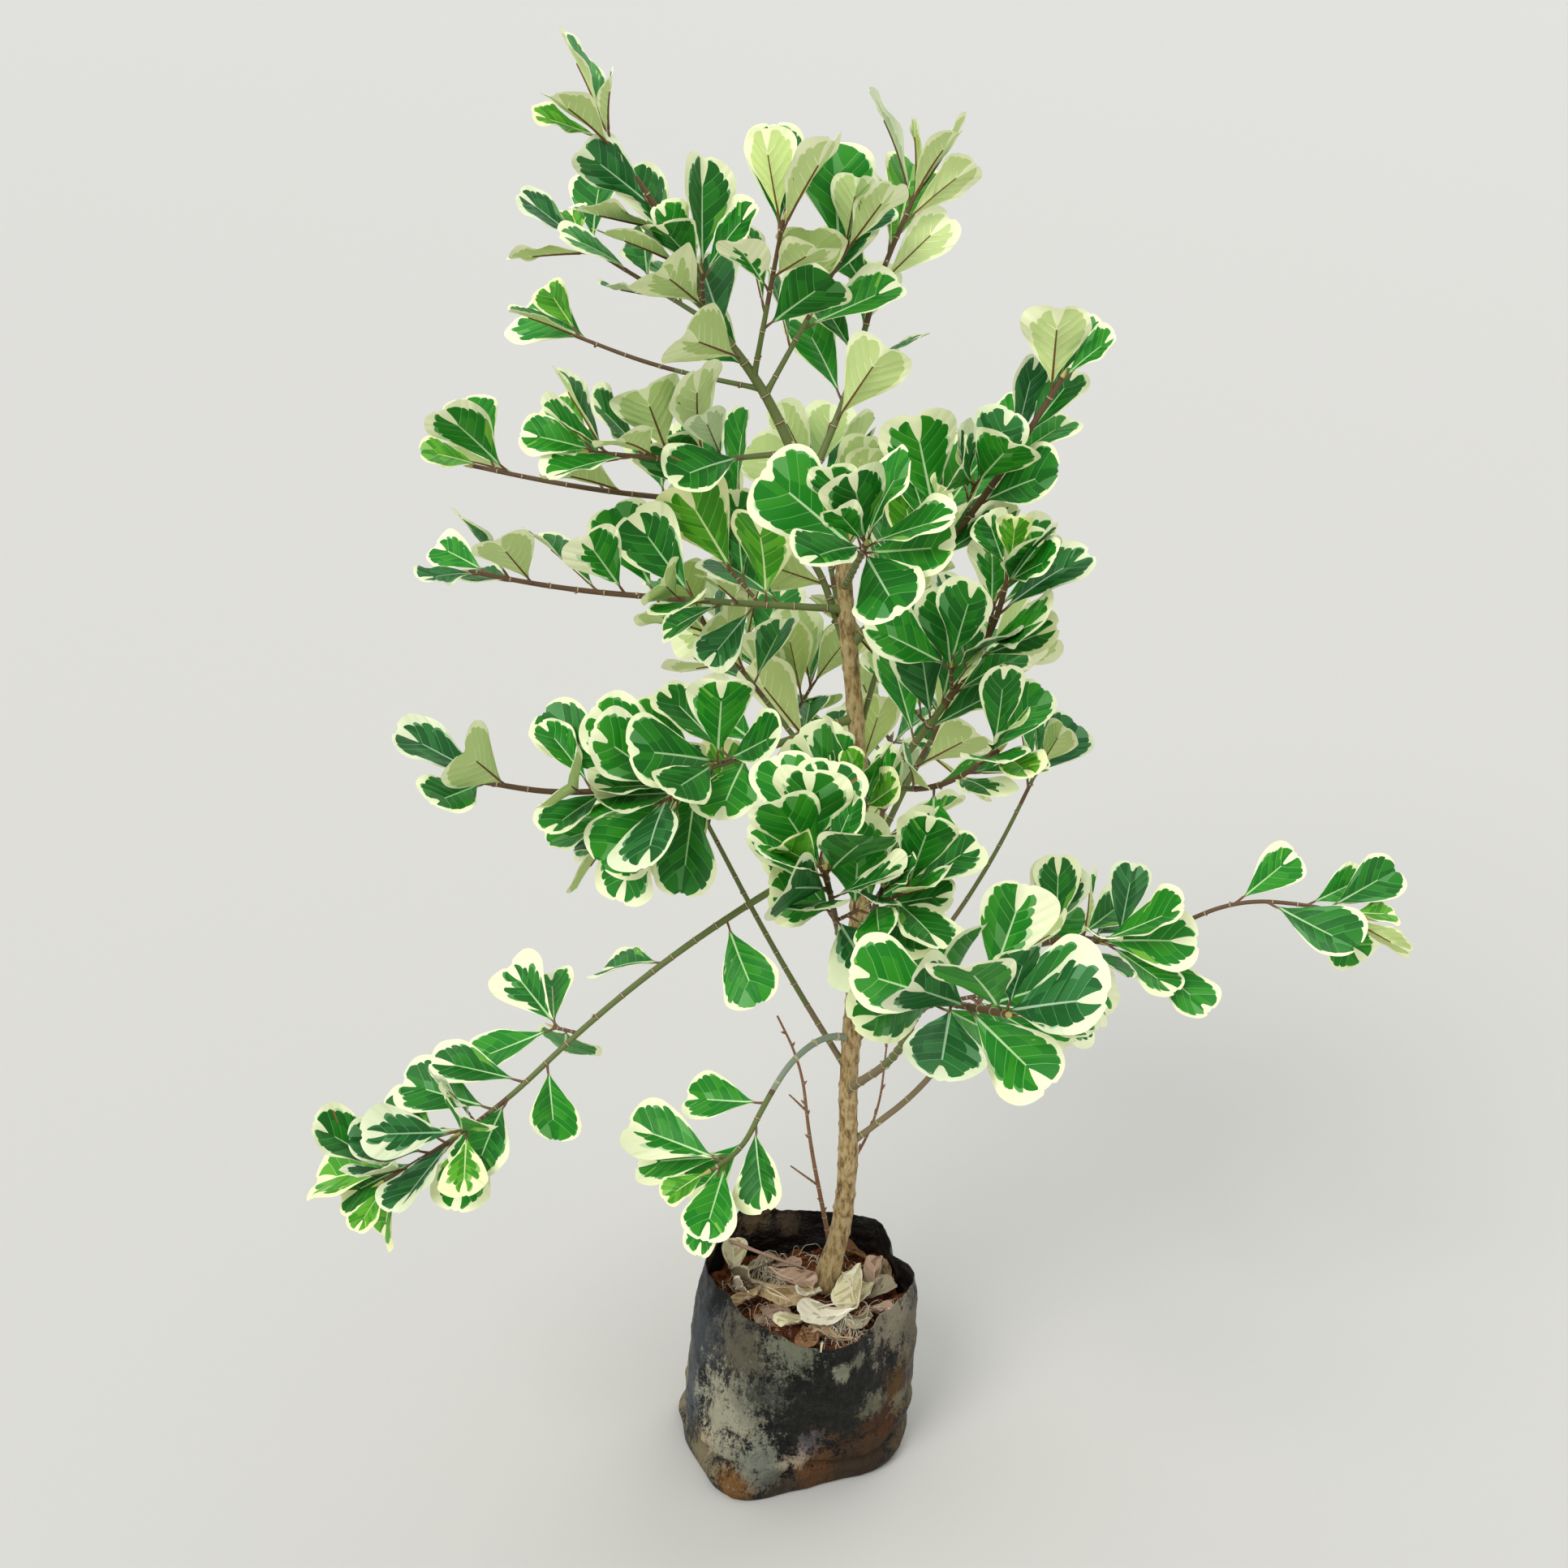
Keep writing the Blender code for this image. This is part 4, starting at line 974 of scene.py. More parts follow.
class Blade:
    """One blade of wedge shape with its midrib, forked top vein and side veins, 1 long and 1 wide each way.

    Its rows run along the side veins, so that the green ends where the veins do.
    """

    VEINS = dict(scaled(((155, 161), (295, 302), (435, 442), (565, 572), (668, 679)), 2))
    ABOVE_VEINS = {high: low for low, high in VEINS.items()}
    ROWS = milli(0, 40, 80, 115, 155, 161, 205, 248, 295, 302, 345, 388, 435, 442, 483, 522, 565, 572, 602, 635, 668,
                 679, 720, 760, 800, 842, 884, 925, 965)
    KNOTS = scaled(((0, 0), (150, 354), (290, 487), (430, 600), (560, 720), (679, 830), (965, 972)), 2)
    FORK = 0.679
    SHOULDER = 0.55
    THICK = 0.0004
    QUILT = 0.0007

    def __init__(self, pattern: Pattern, seed: int) -> None:
        """Draws the blade's own shape and pattern.

        Args:
            pattern: How its green lies.
            seed: What its irregularities are drawn from.
        """
        self.pattern = pattern
        self.rng = random.Random(seed)
        self.skew = [self.rng.uniform(-0.05, 0.05) for _ in range(6)]
        self.edges = [self.borders(side) for side in (-1, 1)]
        self.tissues = [self.sectors() for _ in (-1, 1)]

    def margin(self, row: float, side: int) -> tuple[float, float]:
        """Where a row ends on the blade's edge.

        Args:
            row: Where it leaves the midrib.
            side: Its side of the midrib, -1 or 1.

        Returns:
            Where that is across the blade, where 1 is half its width, and along it.
        """
        for (low, start), (high, end) in zip(self.KNOTS, self.KNOTS[1:]):
            if row <= high:
                break
        q = start + (end - start) * (row - low) / (high - low)
        waver = 1 + self.skew[0] * side + 0.035 * math.sin(9 * q + 40 * self.skew[1] + side)
        if q <= self.SHOULDER:
            t = q / self.SHOULDER
            return max(0.035, (0.35 * t + 0.65 * math.sin(math.pi * t / 2) ** 1.5) * waver), 0.73 * t
        turn = (q - self.SHOULDER) / 0.45 * math.pi / 2
        return math.cos(turn) ** 0.66 * waver, 0.73 + (0.26 + self.skew[2] * 0.4) * math.sin(turn) ** 0.95

    def borders(self, side: int) -> list[tuple[float, float]]:
        """Draws one side's green, which bulges between the veins, steps where they end, and closes in round lobes.

        Args:
            side: The side of the midrib, -1 or 1.

        Returns:
            For each row, where its green begins beside the midrib or the wedge, and where it ends.
        """
        pattern, rng = self.pattern, self.rng
        stops = (0.0, *self.VEINS.values(), 1.0)
        lobes = [pattern.tooth * rng.uniform(-0.7, 0.35) - 0.34 * (rng.random() < pattern.fade) for _ in stops]
        top, end = max(self.FORK, 1 - pattern.wedge), rng.uniform(0.90, 0.96)
        slope = rng.uniform(0.26, 0.42)
        found = []
        for row in self.ROWS:
            i = max(k for k, stop in enumerate(stops[:-1]) if stop <= row)
            bulge = math.sin(math.pi * (row - stops[i]) / (stops[i + 1] - stops[i])) ** 0.6
            reach = pattern.reach + side * pattern.lean / 2 + lobes[i] + pattern.tooth * (0.45 * bulge - 0.2)
            reach += rng.uniform(-0.012, 0.012) - 0.20 * max(0.0, 0.25 - row) / 0.25
            rib = min(0.5, 0.036 * (1 - 0.6 * row) / self.margin(row, side)[0]) if row < self.FORK else 0.015
            reach = min(max(reach, rib + 0.05), 0.96)
            if row > top:
                share = min((row - top) / (end - top), 1.0)
                near = 0.05 + slope * share if pattern.wedge else rib
                middle = (near + reach) / 2 if pattern.wedge else near
                half = (reach - middle) * math.sqrt(1 - share * share)
                rib, reach = (middle - half if pattern.wedge else rib), middle + half
            found.append((rib, max(reach, rib + 0.004)))
        return found

    def sectors(self) -> list[tuple[Tissue, Tissue, Tissue]]:
        """Draws one side's greens.

        Returns:
            For each strip between rows, what its inner and outer green and the rim of its green show.
        """
        grey, rng = self.pattern.grey, self.rng
        found = []
        for i, low in enumerate(self.ROWS[:-1]):
            if i == 0 or low in self.ABOVE_VEINS or rng.random() < 0.10:
                chosen = tuple(rng.choices(tissues, weights)[0] for tissues, weights in (
                    ((Tissue.DEEP, Tissue.MID, Tissue.GREY), (6, 3, grey)),
                    ((Tissue.DEEP, Tissue.MID, Tissue.GREY, Tissue.LIME), (5, 3, 3 * grey, 0.08)),
                    ((Tissue.CREAM, Tissue.GREY, Tissue.VEIN), (5, 2 + 5 * grey, 2))))
            found.append(chosen)
        return found

    def row_points(self, i: int) -> list[tuple[Vector, float]]:
        """The points of one row from edge to edge.

        Args:
            i: The row's number.

        Returns:
            Each point, and how far out it is, from -1 to 1.
        """
        row = self.ROWS[i]
        halves = []
        for side in (-1, 1):
            rib, border = self.edges[(side + 1) // 2][i]
            middle = rib + (border - rib) * (0.5 + 0.17 * math.sin(8 * row + 9 * self.skew[3] * 10))
            rim = border + (0.98 - border) * (0.22 + 0.12 * math.sin(13 * row + 60 * self.skew[4]))
            edge = Vector((*self.margin(row, side), 0.0))
            if row in self.ABOVE_VEINS:
                edge = edge.lerp(Vector((*self.margin(self.ABOVE_VEINS[row], side), 0.0)), 0.6)
            half = []
            for out in (rib, middle, border, rim, 1.0):
                place = Vector((0.0, row, 0.0)).lerp(Vector((edge.x * side, edge.y, 0.0)), out)
                place.y -= 0.018 * math.sin(math.pi * out)
                place.z = self.height(i, out)
                half.append((place, out * side))
            halves.append(half)
        centre = (Vector((0.0, row, -0.0003 if row < self.FORK else self.height(i, 0.1))), 0.0)
        return halves[0][::-1] + [centre] + halves[1]

    def height(self, i: int, out: float) -> float:
        """How far the upper face stands up: down in the veins, up between them, and thin at the edge.

        Args:
            i: The row's number.
            out: How far out the place is, where 1 is the edge.

        Returns:
            The height.
        """
        row = self.ROWS[i]
        if i in (0, len(self.ROWS) - 1) or out >= 1.0:
            return 0.0
        low = max((high for high in self.ABOVE_VEINS if high <= row), default=0.0)
        high = min((low for low in self.VEINS if low >= row), default=1.0)
        hump = math.sin(math.pi * (row - low) / (high - low)) if high > low else 0.0
        return self.THICK / 2 + self.QUILT * hump * min(1.0, 3 * out) * (1 - 0.5 * out)

    def tissue(self, i: int, cell: int, under: bool) -> Tissue:
        """What a cell of the blade shows.

        Args:
            i: The number of the row below it.
            cell: Its number from edge to edge, five either side of the midrib.
            under: Whether it is on the under side.

        Returns:
            Its tissue.
        """
        side, place = (0, 4 - cell) if cell < 5 else (1, cell - 5)
        row, wedge = self.ROWS[i], self.pattern.wedge
        veined = row in self.VEINS
        green = place < 4 and all(reach - rib > 0.05 for rib, reach in self.edges[side][i : i + 2])
        if place == 0 and row < self.FORK:
            return Tissue.RIB if under else Tissue.VEIN
        if under:
            bare = place >= 3 or not green or (place == 0 and wedge) or (place == 1 and veined)
            return Tissue.PALE if bare else Tissue.SAGE
        if not green or (place == 0 and wedge and row >= max(self.FORK, 1 - wedge)):
            return Tissue.CREAM
        if self.pattern.spot == i and place == 2 and side:
            return Tissue.SPOT
        return Tissue.THREAD if veined and 0 < place < 3 else self.tissues[side][i][max(place - 1, 0)]

    def mesh(self, name: str) -> Mesh:
        """The blade as one closed thin body, with its tissue on each face and its own place on each point.

        Args:
            name: The mesh's name.

        Returns:
            The mesh.
        """
        rows = [self.row_points(i) for i in range(len(self.ROWS))]
        wide, last = len(rows[0]), len(rows) - 1
        points, places, faces, tissues = [], [], [], []
        number: dict[tuple[int, int, bool], int] = {}
        for under in (False, True):
            for i, row in enumerate(rows):
                for j, (place, out) in enumerate(row):
                    if under and (i in (0, last) or j in (0, wide - 1)):
                        number[i, j, True] = number[i, j, False]
                        continue
                    number[i, j, under] = len(points)
                    rib = -0.0007 * (1 - row[wide // 2][0].y) if under and j == wide // 2 else 0.0
                    points.append(Vector((place.x / 2, place.y, place.z - self.THICK * under + rib)))
                    places.append((place.x, place.y, out))
        for i in range(last):
            for j in range(wide - 1):
                ring = ((i, j), (i, j + 1), (i + 1, j + 1), (i + 1, j))
                for under in (False, True):
                    faces.append([number[a, b, under] for a, b in ring][:: -1 if under else 1])
                    tissues.append(self.tissue(i, j, under))
        return shaped(name, points, faces, tissue=("INT", "FACE", tissues), blade=("FLOAT_VECTOR", "POINT", places))


def new_tree(name: str, inputs: dict[str, str]) -> tuple[Tree, Node]:
    """A new Geometry Nodes tree with named inputs.

    Args:
        name: Its name.
        inputs: The kind of socket by the input's name.

    Returns:
        The tree, and its input node.
    """
    tree = bpy.data.node_groups.new(name, "GeometryNodeTree")
    for label, kind in {"Geometry": "Geometry", **inputs}.items():
        tree.interface.new_socket(label, in_out="INPUT", socket_type="NodeSocket" + kind)
    tree.interface.new_socket("Geometry", in_out="OUTPUT", socket_type="NodeSocketGeometry")
    return tree, node(tree, "NodeGroupInput")


def ended(tree: Tree, shape: Node, attribute: str, palette: Sequence[Finish]) -> Tree:
    """Ends a tree with the finish that each face's attribute asks for.

    Args:
        tree: The tree.
        shape: The node that gives the geometry so far.
        attribute: The attribute that picks a finish by its number.
        palette: The finishes in that order.

    Returns:
        The tree.
    """
    shape = node(tree, "GeometryNodeRealizeInstances", {"Geometry": shape})
    value = node(tree, "GeometryNodeInputNamedAttribute", {"Name": attribute}, data_type="FLOAT")
    for i, finish in enumerate(palette):
        chosen = node(tree, "FunctionNodeCompare", {"A": value, "B": i - 0.5}, operation="GREATER_THAN")
        shape = node(tree, "GeometryNodeSetMaterial", {"Geometry": shape, "Selection": chosen,
                                                       "Material": finish.material()})
    node(tree, "NodeGroupOutput", {"Geometry": shape})
    return tree


def grown(source: Mesh, tree: Tree, inputs: dict[str, object]) -> Mesh:
    """Runs a tree on a mesh.

    Args:
        source: What the tree starts from. It is removed afterwards.
        tree: The tree.
        inputs: The tree's inputs by name.

    Returns:
        The plain mesh that comes of it.
    """
    obj = bpy.data.objects.new(source.name, source)
    bpy.context.scene.collection.objects.link(obj)
    modifier = obj.modifiers.new("growth", "NODES")
    modifier.node_group = tree
    for item in tree.interface.items_tree:
        if item.name in inputs:
            modifier[item.identifier] = inputs[item.name]
    mesh = bpy.data.meshes.new_from_object(obj.evaluated_get(bpy.context.evaluated_depsgraph_get()))
    bpy.data.objects.remove(obj)
    bpy.data.meshes.remove(source)
    # The tree leaves an empty slot before its materials
    kept = [i for i, material in enumerate(mesh.materials) if material]
    numbers = [kept.index(face.material_index) for face in mesh.polygons]
    materials = [mesh.materials[i] for i in kept]
    mesh.materials.clear()
    for material in materials:
        mesh.materials.append(material)
    mesh.polygons.foreach_set("material_index", numbers)
    return mesh


def piece(name: str, slot: str, mesh: Mesh, replaced: Sequence[str] = (), sharp: float = 60.0) -> None:
    """Puts a finished mesh in the scene as a piece of the plant's one body.

    Args:
        name: The piece's name.
        slot: The record's material slot. Not used.
        mesh: Its mesh, in place.
        replaced: The CAD nodes that it stands for.
        sharp: The angle past which an edge stays sharp, in degrees.
    """
    obj = bpy.data.objects.new(name, mesh)
    mesh.name = name
    bpy.context.scene.collection.objects.link(obj)
    mesh.shade_smooth()
    mesh.set_sharp_from_angle(angle=math.radians(sharp))
    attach(obj, "root")
    if replaced:
        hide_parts(*replaced)
    mesh.calc_loop_triangles()
    LOG.info("%s: %d triangles", name, len(mesh.loop_triangles))


@dataclass(frozen=True)
class Bloomed:
    """One blade to be placed: its leaf, its cast, its pattern and how its edge waves."""

    leaf: Leaf
    tint: Tint
    kind: int
    wave: float
    phase: float


@dataclass(frozen=True)
class Foliage:
    """Every blade of the crown, repeated from a few patterns by Geometry Nodes, one piece for each cast.

    Args:
        crown: The blades.
        waves: How fast their edges wave along them.
    """

    crown: Sequence[Bloomed]
    waves: float = 11.0

    def tree(self, tint: Tint) -> Tree:
        """The tree that sets a blade on each bud, cups it, lets its tip drop and waves its edge.

        Args:
            tint: The cast that it wears.

        Returns:
            The tree.
        """
        tree, start = new_tree("blades on buds, " + tint.name.lower(), {"Blades": "Collection", "Waves": "Float"})
        read = {name: node(tree, "GeometryNodeInputNamedAttribute", {"Name": name}, data_type=kind)
                for name, kind in (("kind", "INT"), ("turn", "QUATERNION"), ("size", "FLOAT_VECTOR"),
                                   ("blade", "FLOAT_VECTOR"), ("up", "FLOAT_VECTOR"), ("cup", "FLOAT"),
                                   ("drop", "FLOAT"), ("wave", "FLOAT"), ("phase", "FLOAT"))}
        blades = node(tree, "GeometryNodeCollectionInfo", {"Collection": start.outputs["Blades"],
                                                           "Separate Children": True, "Reset Children": True})
        placed = node(tree, "GeometryNodeInstanceOnPoints",
                      {"Points": start, "Instance": blades, "Pick Instance": True, "Instance Index": read["kind"],
                       "Rotation": read["turn"], "Scale": read["size"]})
        real = node(tree, "GeometryNodeRealizeInstances", {"Geometry": placed})
        place = node(tree, "ShaderNodeSeparateXYZ", {"Vector": read["blade"]})
        across, along = place.outputs["X"], place.outputs["Y"]
        swing = node(tree, "ShaderNodeMath", {0: along, 1: start.outputs["Waves"], 2: read["phase"]},
                     operation="MULTIPLY_ADD")
        sine = node(tree, "ShaderNodeMath", {0: swing}, operation="SINE")
        flare = node(tree, "ShaderNodeMath", {0: across, 1: across}, operation="MULTIPLY")
        lift: Node | float = 0.0
        for weight, first, second, operation in (("cup", across, 0.0, "ABSOLUTE"), ("drop", along, along, "MULTIPLY"),
                                                 ("wave", flare, sine, "MULTIPLY")):
            shape = node(tree, "ShaderNodeMath", {0: first, 1: second}, operation=operation)
            lift = node(tree, "ShaderNodeMath", {0: shape, 1: read[weight], 2: lift}, operation="MULTIPLY_ADD")
        offset = node(tree, "ShaderNodeVectorMath", {0: read["up"], "Scale": lift}, operation="SCALE")
        bent = node(tree, "GeometryNodeSetPosition", {"Geometry": real, "Offset": offset})
        return ended(tree, bent, "tissue", tint.finishes())

    def build(self) -> None:
        """Makes each cast's blades, in the place of the masses."""
        shapes = gathered("blades", [Blade(pattern, 41 + i).mesh(f"blade_{i:02d}") for i, pattern in
                                     enumerate(PATTERNS)])
        for tint in Tint:
            chosen = [item for item in self.crown if item.tint is tint]
            leaves = [item.leaf for item in chosen]
            turns = [Matrix((leaf.beside, leaf.direction, leaf.normal)).transposed().to_quaternion()
                     for leaf in leaves]
            buds = shaped("buds", [leaf.root + leaf.direction * STALK for leaf in leaves],
                          turn=("QUATERNION", "POINT", turns),
                          size=("FLOAT_VECTOR", "POINT", [(leaf.width, leaf.length, 1.0) for leaf in leaves]),
                          up=("FLOAT_VECTOR", "POINT", [leaf.normal for leaf in leaves]),
                          kind=("INT", "POINT", [item.kind for item in chosen]),
                          cup=("FLOAT", "POINT", [leaf.cup * leaf.width / 2 for leaf in leaves]),
                          drop=("FLOAT", "POINT", [-leaf.bend * leaf.length for leaf in leaves]),
                          wave=("FLOAT", "POINT", [item.wave for item in chosen]),
                          phase=("FLOAT", "POINT", [item.phase for item in chosen]))
            piece("leaves_" + tint.name.lower(), "variegated_leaf",
                  grown(buds, self.tree(tint), {"Blades": shapes, "Waves": self.waves}),
                  [name for name in frame["nodes"] if name.startswith("foliage_")])
        cleared(shapes)


# What a stretch of stem wears
Bark = IntEnum("Bark", "TRUNK GREYED OLIVE TWIG SCAR BLUISH STALK BUD DRY", start=0)
BARKS = (
    # Fig trunk: thin corky bark in short upright flakes, tan over dark brown, matt all over
    MottledFinish("fig trunk bark, corky", "8A7450", 0.86, grain=1.1, relief=0.5, patch=3.6, stretch=2.6,
                  colours=("54412A", "84693F", "A48A5C", "B8A278", "968862")),
    # Two-year wood: green bark gone to grey cork, matt
    Finish("fig bough bark, weathered grey-brown", "7B6B4E", 0.8, grain=1.0, relief=0.2),
    # Year-old wood: smooth green bark with a dull wax
    Finish("fig bough bark, olive green", "5F6B33", 0.6, grain=1.4, relief=0.12),
    # This year's twig: brown and finely cracked, with a low shine
    Finish("fig twig bark, brown", "5E4429", 0.66, grain=0.9, relief=0.12),
    # Ring scars that stipules leave: dry, pale and raised
    Finish("stipule scar, dry cork", "B3A47E", 0.85, grain=0.6, relief=0.15),
    # Painted shade: a blue-grey that stands for the cool shade on the hanging arch
    Finish("fig bough bark, blue-grey bloom", "7F8C74", 0.68, grain=1.4, relief=0.12),
    # Stalk and bud: smooth young skin, the brightest glints of the stems
    Finish("leaf stalk, brown", "6A4A2A", 0.52, grain=0.8, relief=0.05),
    Finish("stipule bud, pale green", "B3A85E", 0.5, grain=0.8, relief=0.05),
    # Dead wood: dry fibre with no shine
    Finish("dead fig wood, grey-brown", "876247", 0.82, grain=0.8, relief=0.25),
)


# A ring scar on a stem: the points across it in millimetres, how far each swells, and the room it takes
RING = ((-0.9, 1.0), (-0.35, 1.12), (0.0, 1.2), (0.35, 1.1), (0.9, 1.0))
RING_ROOM = 1.6 * MM


@dataclass(frozen=True)
class Strand:
    """One stem as a path: its points, and its radius and its finish's number at each."""

    points: list[Vector]
    radii: list[float]
    barks: list[int]


def strand(course: Course, radius: Callable[[float], float], bark: Callable[[float], Bark],
           scars: Sequence[float] = (), step: float = 0.003) -> Strand:
    """A stem along a course, with a raised ring at each scar.

    Args:
        course: The centreline.
        radius: The radius at a distance along it.
        bark: The bark at a distance along it.
        scars: Where its rings are.
        step: How far apart its points are between them.

    Returns:
        The stem.
    """
    stops = [(d, radius(d), bark(d)) for d in even(0, course.length, max(2, math.ceil(course.length / step)))
             if all(abs(d - scar) > RING_ROOM for scar in scars)]
    for scar in scars:
        for away, swell in RING:
            stops.append((scar + away * MM, radius(scar) * swell, Bark.SCAR if abs(away) < 0.5 else bark(scar)))
    stops.sort(key=lambda stop: stop[0])
    return Strand([course.at(d)[0] for d, _, _ in stops], [wide for _, wide, _ in stops], [worn for *_, worn in stops])


@dataclass(frozen=True)
class Stems:
    """A kind of stem, which Geometry Nodes lay along its paths with the relief of its bark.

    Args:
        name: Its piece's name.
        slot: The record's material slot.
        sides: How many sides each stem has.
        relief: The height of the bark's relief, as a share of the radius.
        grain: How many grains go to a metre along each axis.
        palette: The finishes that the strands' numbers stand for.
    """

    name: str
    slot: str
    sides: int
    relief: float = 0.0
    grain: tuple[float, float, float] = (500.0, 500.0, 500.0)
    palette: Sequence[Finish] = BARKS

    def tree(self) -> Tree:
        """The tree that lays the bark along the paths.

        Returns:
            The tree.
        """
        tree, start = new_tree(self.name, {"Sides": "Int", "Relief": "Float", "Grain": "Vector"})
        thick = node(tree, "GeometryNodeInputNamedAttribute", {"Name": "thick"}, data_type="FLOAT")
        path = node(tree, "GeometryNodeMeshToCurve", {"Mesh": start})
        ring = node(tree, "GeometryNodeCurvePrimitiveCircle", {"Resolution": start.outputs["Sides"], "Radius": 1.0})
        skin = node(tree, "GeometryNodeCurveToMesh", {"Curve": path, "Scale": thick, "Profile Curve": ring,
                                                      "Fill Caps": True})
        drawn = node(tree, "ShaderNodeVectorMath", {0: node(tree, "GeometryNodeInputPosition"),
                                                    1: start.outputs["Grain"]}, operation="MULTIPLY")
        amount = node(tree, "ShaderNodeTexNoise", {"Vector": drawn, "Scale": 1.0, "Detail": 4.0})
        for operation, factor in (("SUBTRACT", 0.5), ("MULTIPLY", thick), ("MULTIPLY", start.outputs["Relief"])):
            amount = node(tree, "ShaderNodeMath", {0: amount, 1: factor}, operation=operation)
        raised = node(tree, "ShaderNodeVectorMath", {0: node(tree, "GeometryNodeInputNormal"), "Scale": amount},
                      operation="SCALE")
        bark = node(tree, "GeometryNodeSetPosition", {"Geometry": skin, "Offset": raised})
        return ended(tree, bark, "bark", self.palette)

    def build(self, strands: Sequence[Strand], replaced: Sequence[str] = (), sharp: float = 60.0) -> None:
        """Makes the stems one piece.

        Args:
            strands: The stems.
            replaced: The CAD nodes that they stand for.
            sharp: The angle past which an edge stays sharp, in degrees.
        """
        points: list[Vector] = []
        edges = []
        for stem in strands:
            edges += [(i, i + 1) for i in range(len(points), len(points) + len(stem.points) - 1)]
            points += stem.points
        paths = shaped(self.name, points, edges=edges,
                       thick=("FLOAT", "POINT", [radius for stem in strands for radius in stem.radii]),
                       bark=("FLOAT", "POINT", [float(bark) for stem in strands for bark in stem.barks]))
        inputs = {"Sides": self.sides, "Relief": self.relief, "Grain": self.grain}
        piece(self.name, self.slot, grown(paths, self.tree(), inputs), replaced, sharp)


@dataclass(frozen=True)
class Framework:
    """Trunk, boughs, twigs, stalks and dead wood, each kind along its own paths.

    Args:
        growth: The limbs, twigs and leaves.
        rng: What their irregularities are drawn from, in the order of the methods.
    """

    growth: Growth
    rng: random.Random = field(default_factory=lambda: random.Random(7))

    # How far a limb has gone grey, and how much of it is still green
    WEATHERED = {"right_long": 0.19, "right_rising": 0.13, "front_right": 0.09, "left_steep": 0.06}
    GREEN = {"leader": 0.6, "left_low": 0.8, "left_steep": 0.85, "right_rising": 0.85}
    # Distance and radius along the bud at a tip, as shares of its length and its radius
    BUD = ((0.0, 0.8), (0.12, 1.0), (0.3, 0.95), (0.6, 0.6), (0.85, 0.28), (1.0, 0.06))

    def scars(self, first: float, last: float, spacing: float) -> list[float]:
        """Draws ring scars along a stretch, their spacing uneven.

        Args:
            first: Where the first one is.
            last: Where the stretch ends.
            spacing: How far apart they are on average.

        Returns:
            Their distances.
        """
        found = []
        while first < last:
            found.append(first)
            first += spacing * self.rng.uniform(0.6, 1.4)
        return found

    def knobs(self, course: Course, scars: Sequence[float], radius: Callable[[float], float],
              bark: Bark) -> list[Strand]:
        """Draws the stubs that fallen leaves left beside the scars of a stem.

        Args:
            course: The stem's course.
            scars: Its scars.
            radius: The radius at a distance along it.
            bark: What the stubs wear at their foot.

        Returns:
            The stubs.
        """
        stubs = []
        for i, scar in enumerate(scars):
            if self.rng.random() < 0.45:
                continue
            point, tangent = course.at(scar)
            out = (course.spokes(scar, 8)[(3 * i) % 8] + tangent * 0.5).normalized()
            wide = radius(scar)
            reach = wide + self.rng.uniform(0.8, 1.8) * MM
            stubs.append(Strand([point + out * wide * 0.5, point + out * (reach - 0.5 * MM), point + out * reach],
                                [0.45 * wide + 0.5 * MM, 0.3 * wide + 0.4 * MM, 0.3 * MM],
                                [bark, Bark.SCAR, Bark.SCAR]))
        return stubs

    def bark_at(self, limb: Limb, distance: float) -> Bark:
        """The bark along a limb: older where it begins, brown twig towards its tip.

        Args:
            limb: The limb.
            distance: How far along it.

        Returns:
            The bark.
        """
        length = self.growth.courses[limb.name].length
        young = self.GREEN[limb.name] * length if limb.name in self.GREEN else max(limb.bare, 0.45 * length)
        # The hanging arch: painted shade in blue-grey where it is older, olive towards its tip
        if limb.name == "left_arch":
            return Bark.BLUISH if distance < young else Bark.OLIVE
        if distance < self.WEATHERED.get(limb.name, 0.0):
            return Bark.GREYED
        return Bark.OLIVE if distance + 0.09 * length * math.sin(230 * distance) < young else Bark.TWIG

    def trunk(self, step: float = 0.0016, ring: float = 0.0030) -> None:
        """The trunk: corky bark with ring scars and knots, flaring at its foot.

        Args:
            step: How far apart its points are.
            ring: Half the width of a ring scar.
        """
        course = self.growth.trunk
        scars = self.scars(0.05, course.length - 0.01, 0.021)

        def radius(distance: float) -> float:
            """The trunk's radius, which swells and shrinks a little along it."""
            return trunk_radius(distance, course.length) * (1 + 0.05 * math.sin(distance * 95)
                                                            * math.sin(distance * 31 + 1))

        stem = strand(course, radius, lambda _: Bark.TRUNK, (), step)
        radii = [r * (1 + 0.10 * max((1 - abs(i * step - scar) / ring for scar in scars
                                      if abs(i * step - scar) < ring), default=0.0))
                 for i, r in enumerate(stem.radii)]
        stubs = [replace(stub, barks=[Bark.TRUNK] * 3) for stub in self.knobs(course, scars, radius, Bark.TRUNK)]
        Stems("trunk_bark", "fig_bark", 28, 0.20, (330.0, 330.0, 110.0)).build([replace(stem, radii=radii)] + stubs,
                                                                               ["trunk"], 70.0)

    def boughs(self) -> None:
        """The boughs and the limbs inside the masses, down to their tips."""
        strands = []
        for limb in LIMBS:
            course = self.growth.courses[limb.name]

            def radius(distance: float) -> float:
                """The limb's radius, with its collar where it leaves its parent."""
                swell = 1 + (0.45 if limb.height else 0.1) * math.exp(-distance / (2.2 * limb.root))
                return tapered(limb, course.length, distance) * swell

            scars = self.scars(0.014, course.length - 0.004, 0.022)
            strands.append(strand(course, radius, lambda d: self.bark_at(limb, d), scars, 0.004))
            strands += self.knobs(course, scars, radius, self.bark_at(limb, 0.05))
        Stems("bough_bark", "green_shoot", 10, 0.16, (420.0, 420.0, 420.0)).build(
            strands, [name for name in frame["nodes"] if name.startswith("bough_")])

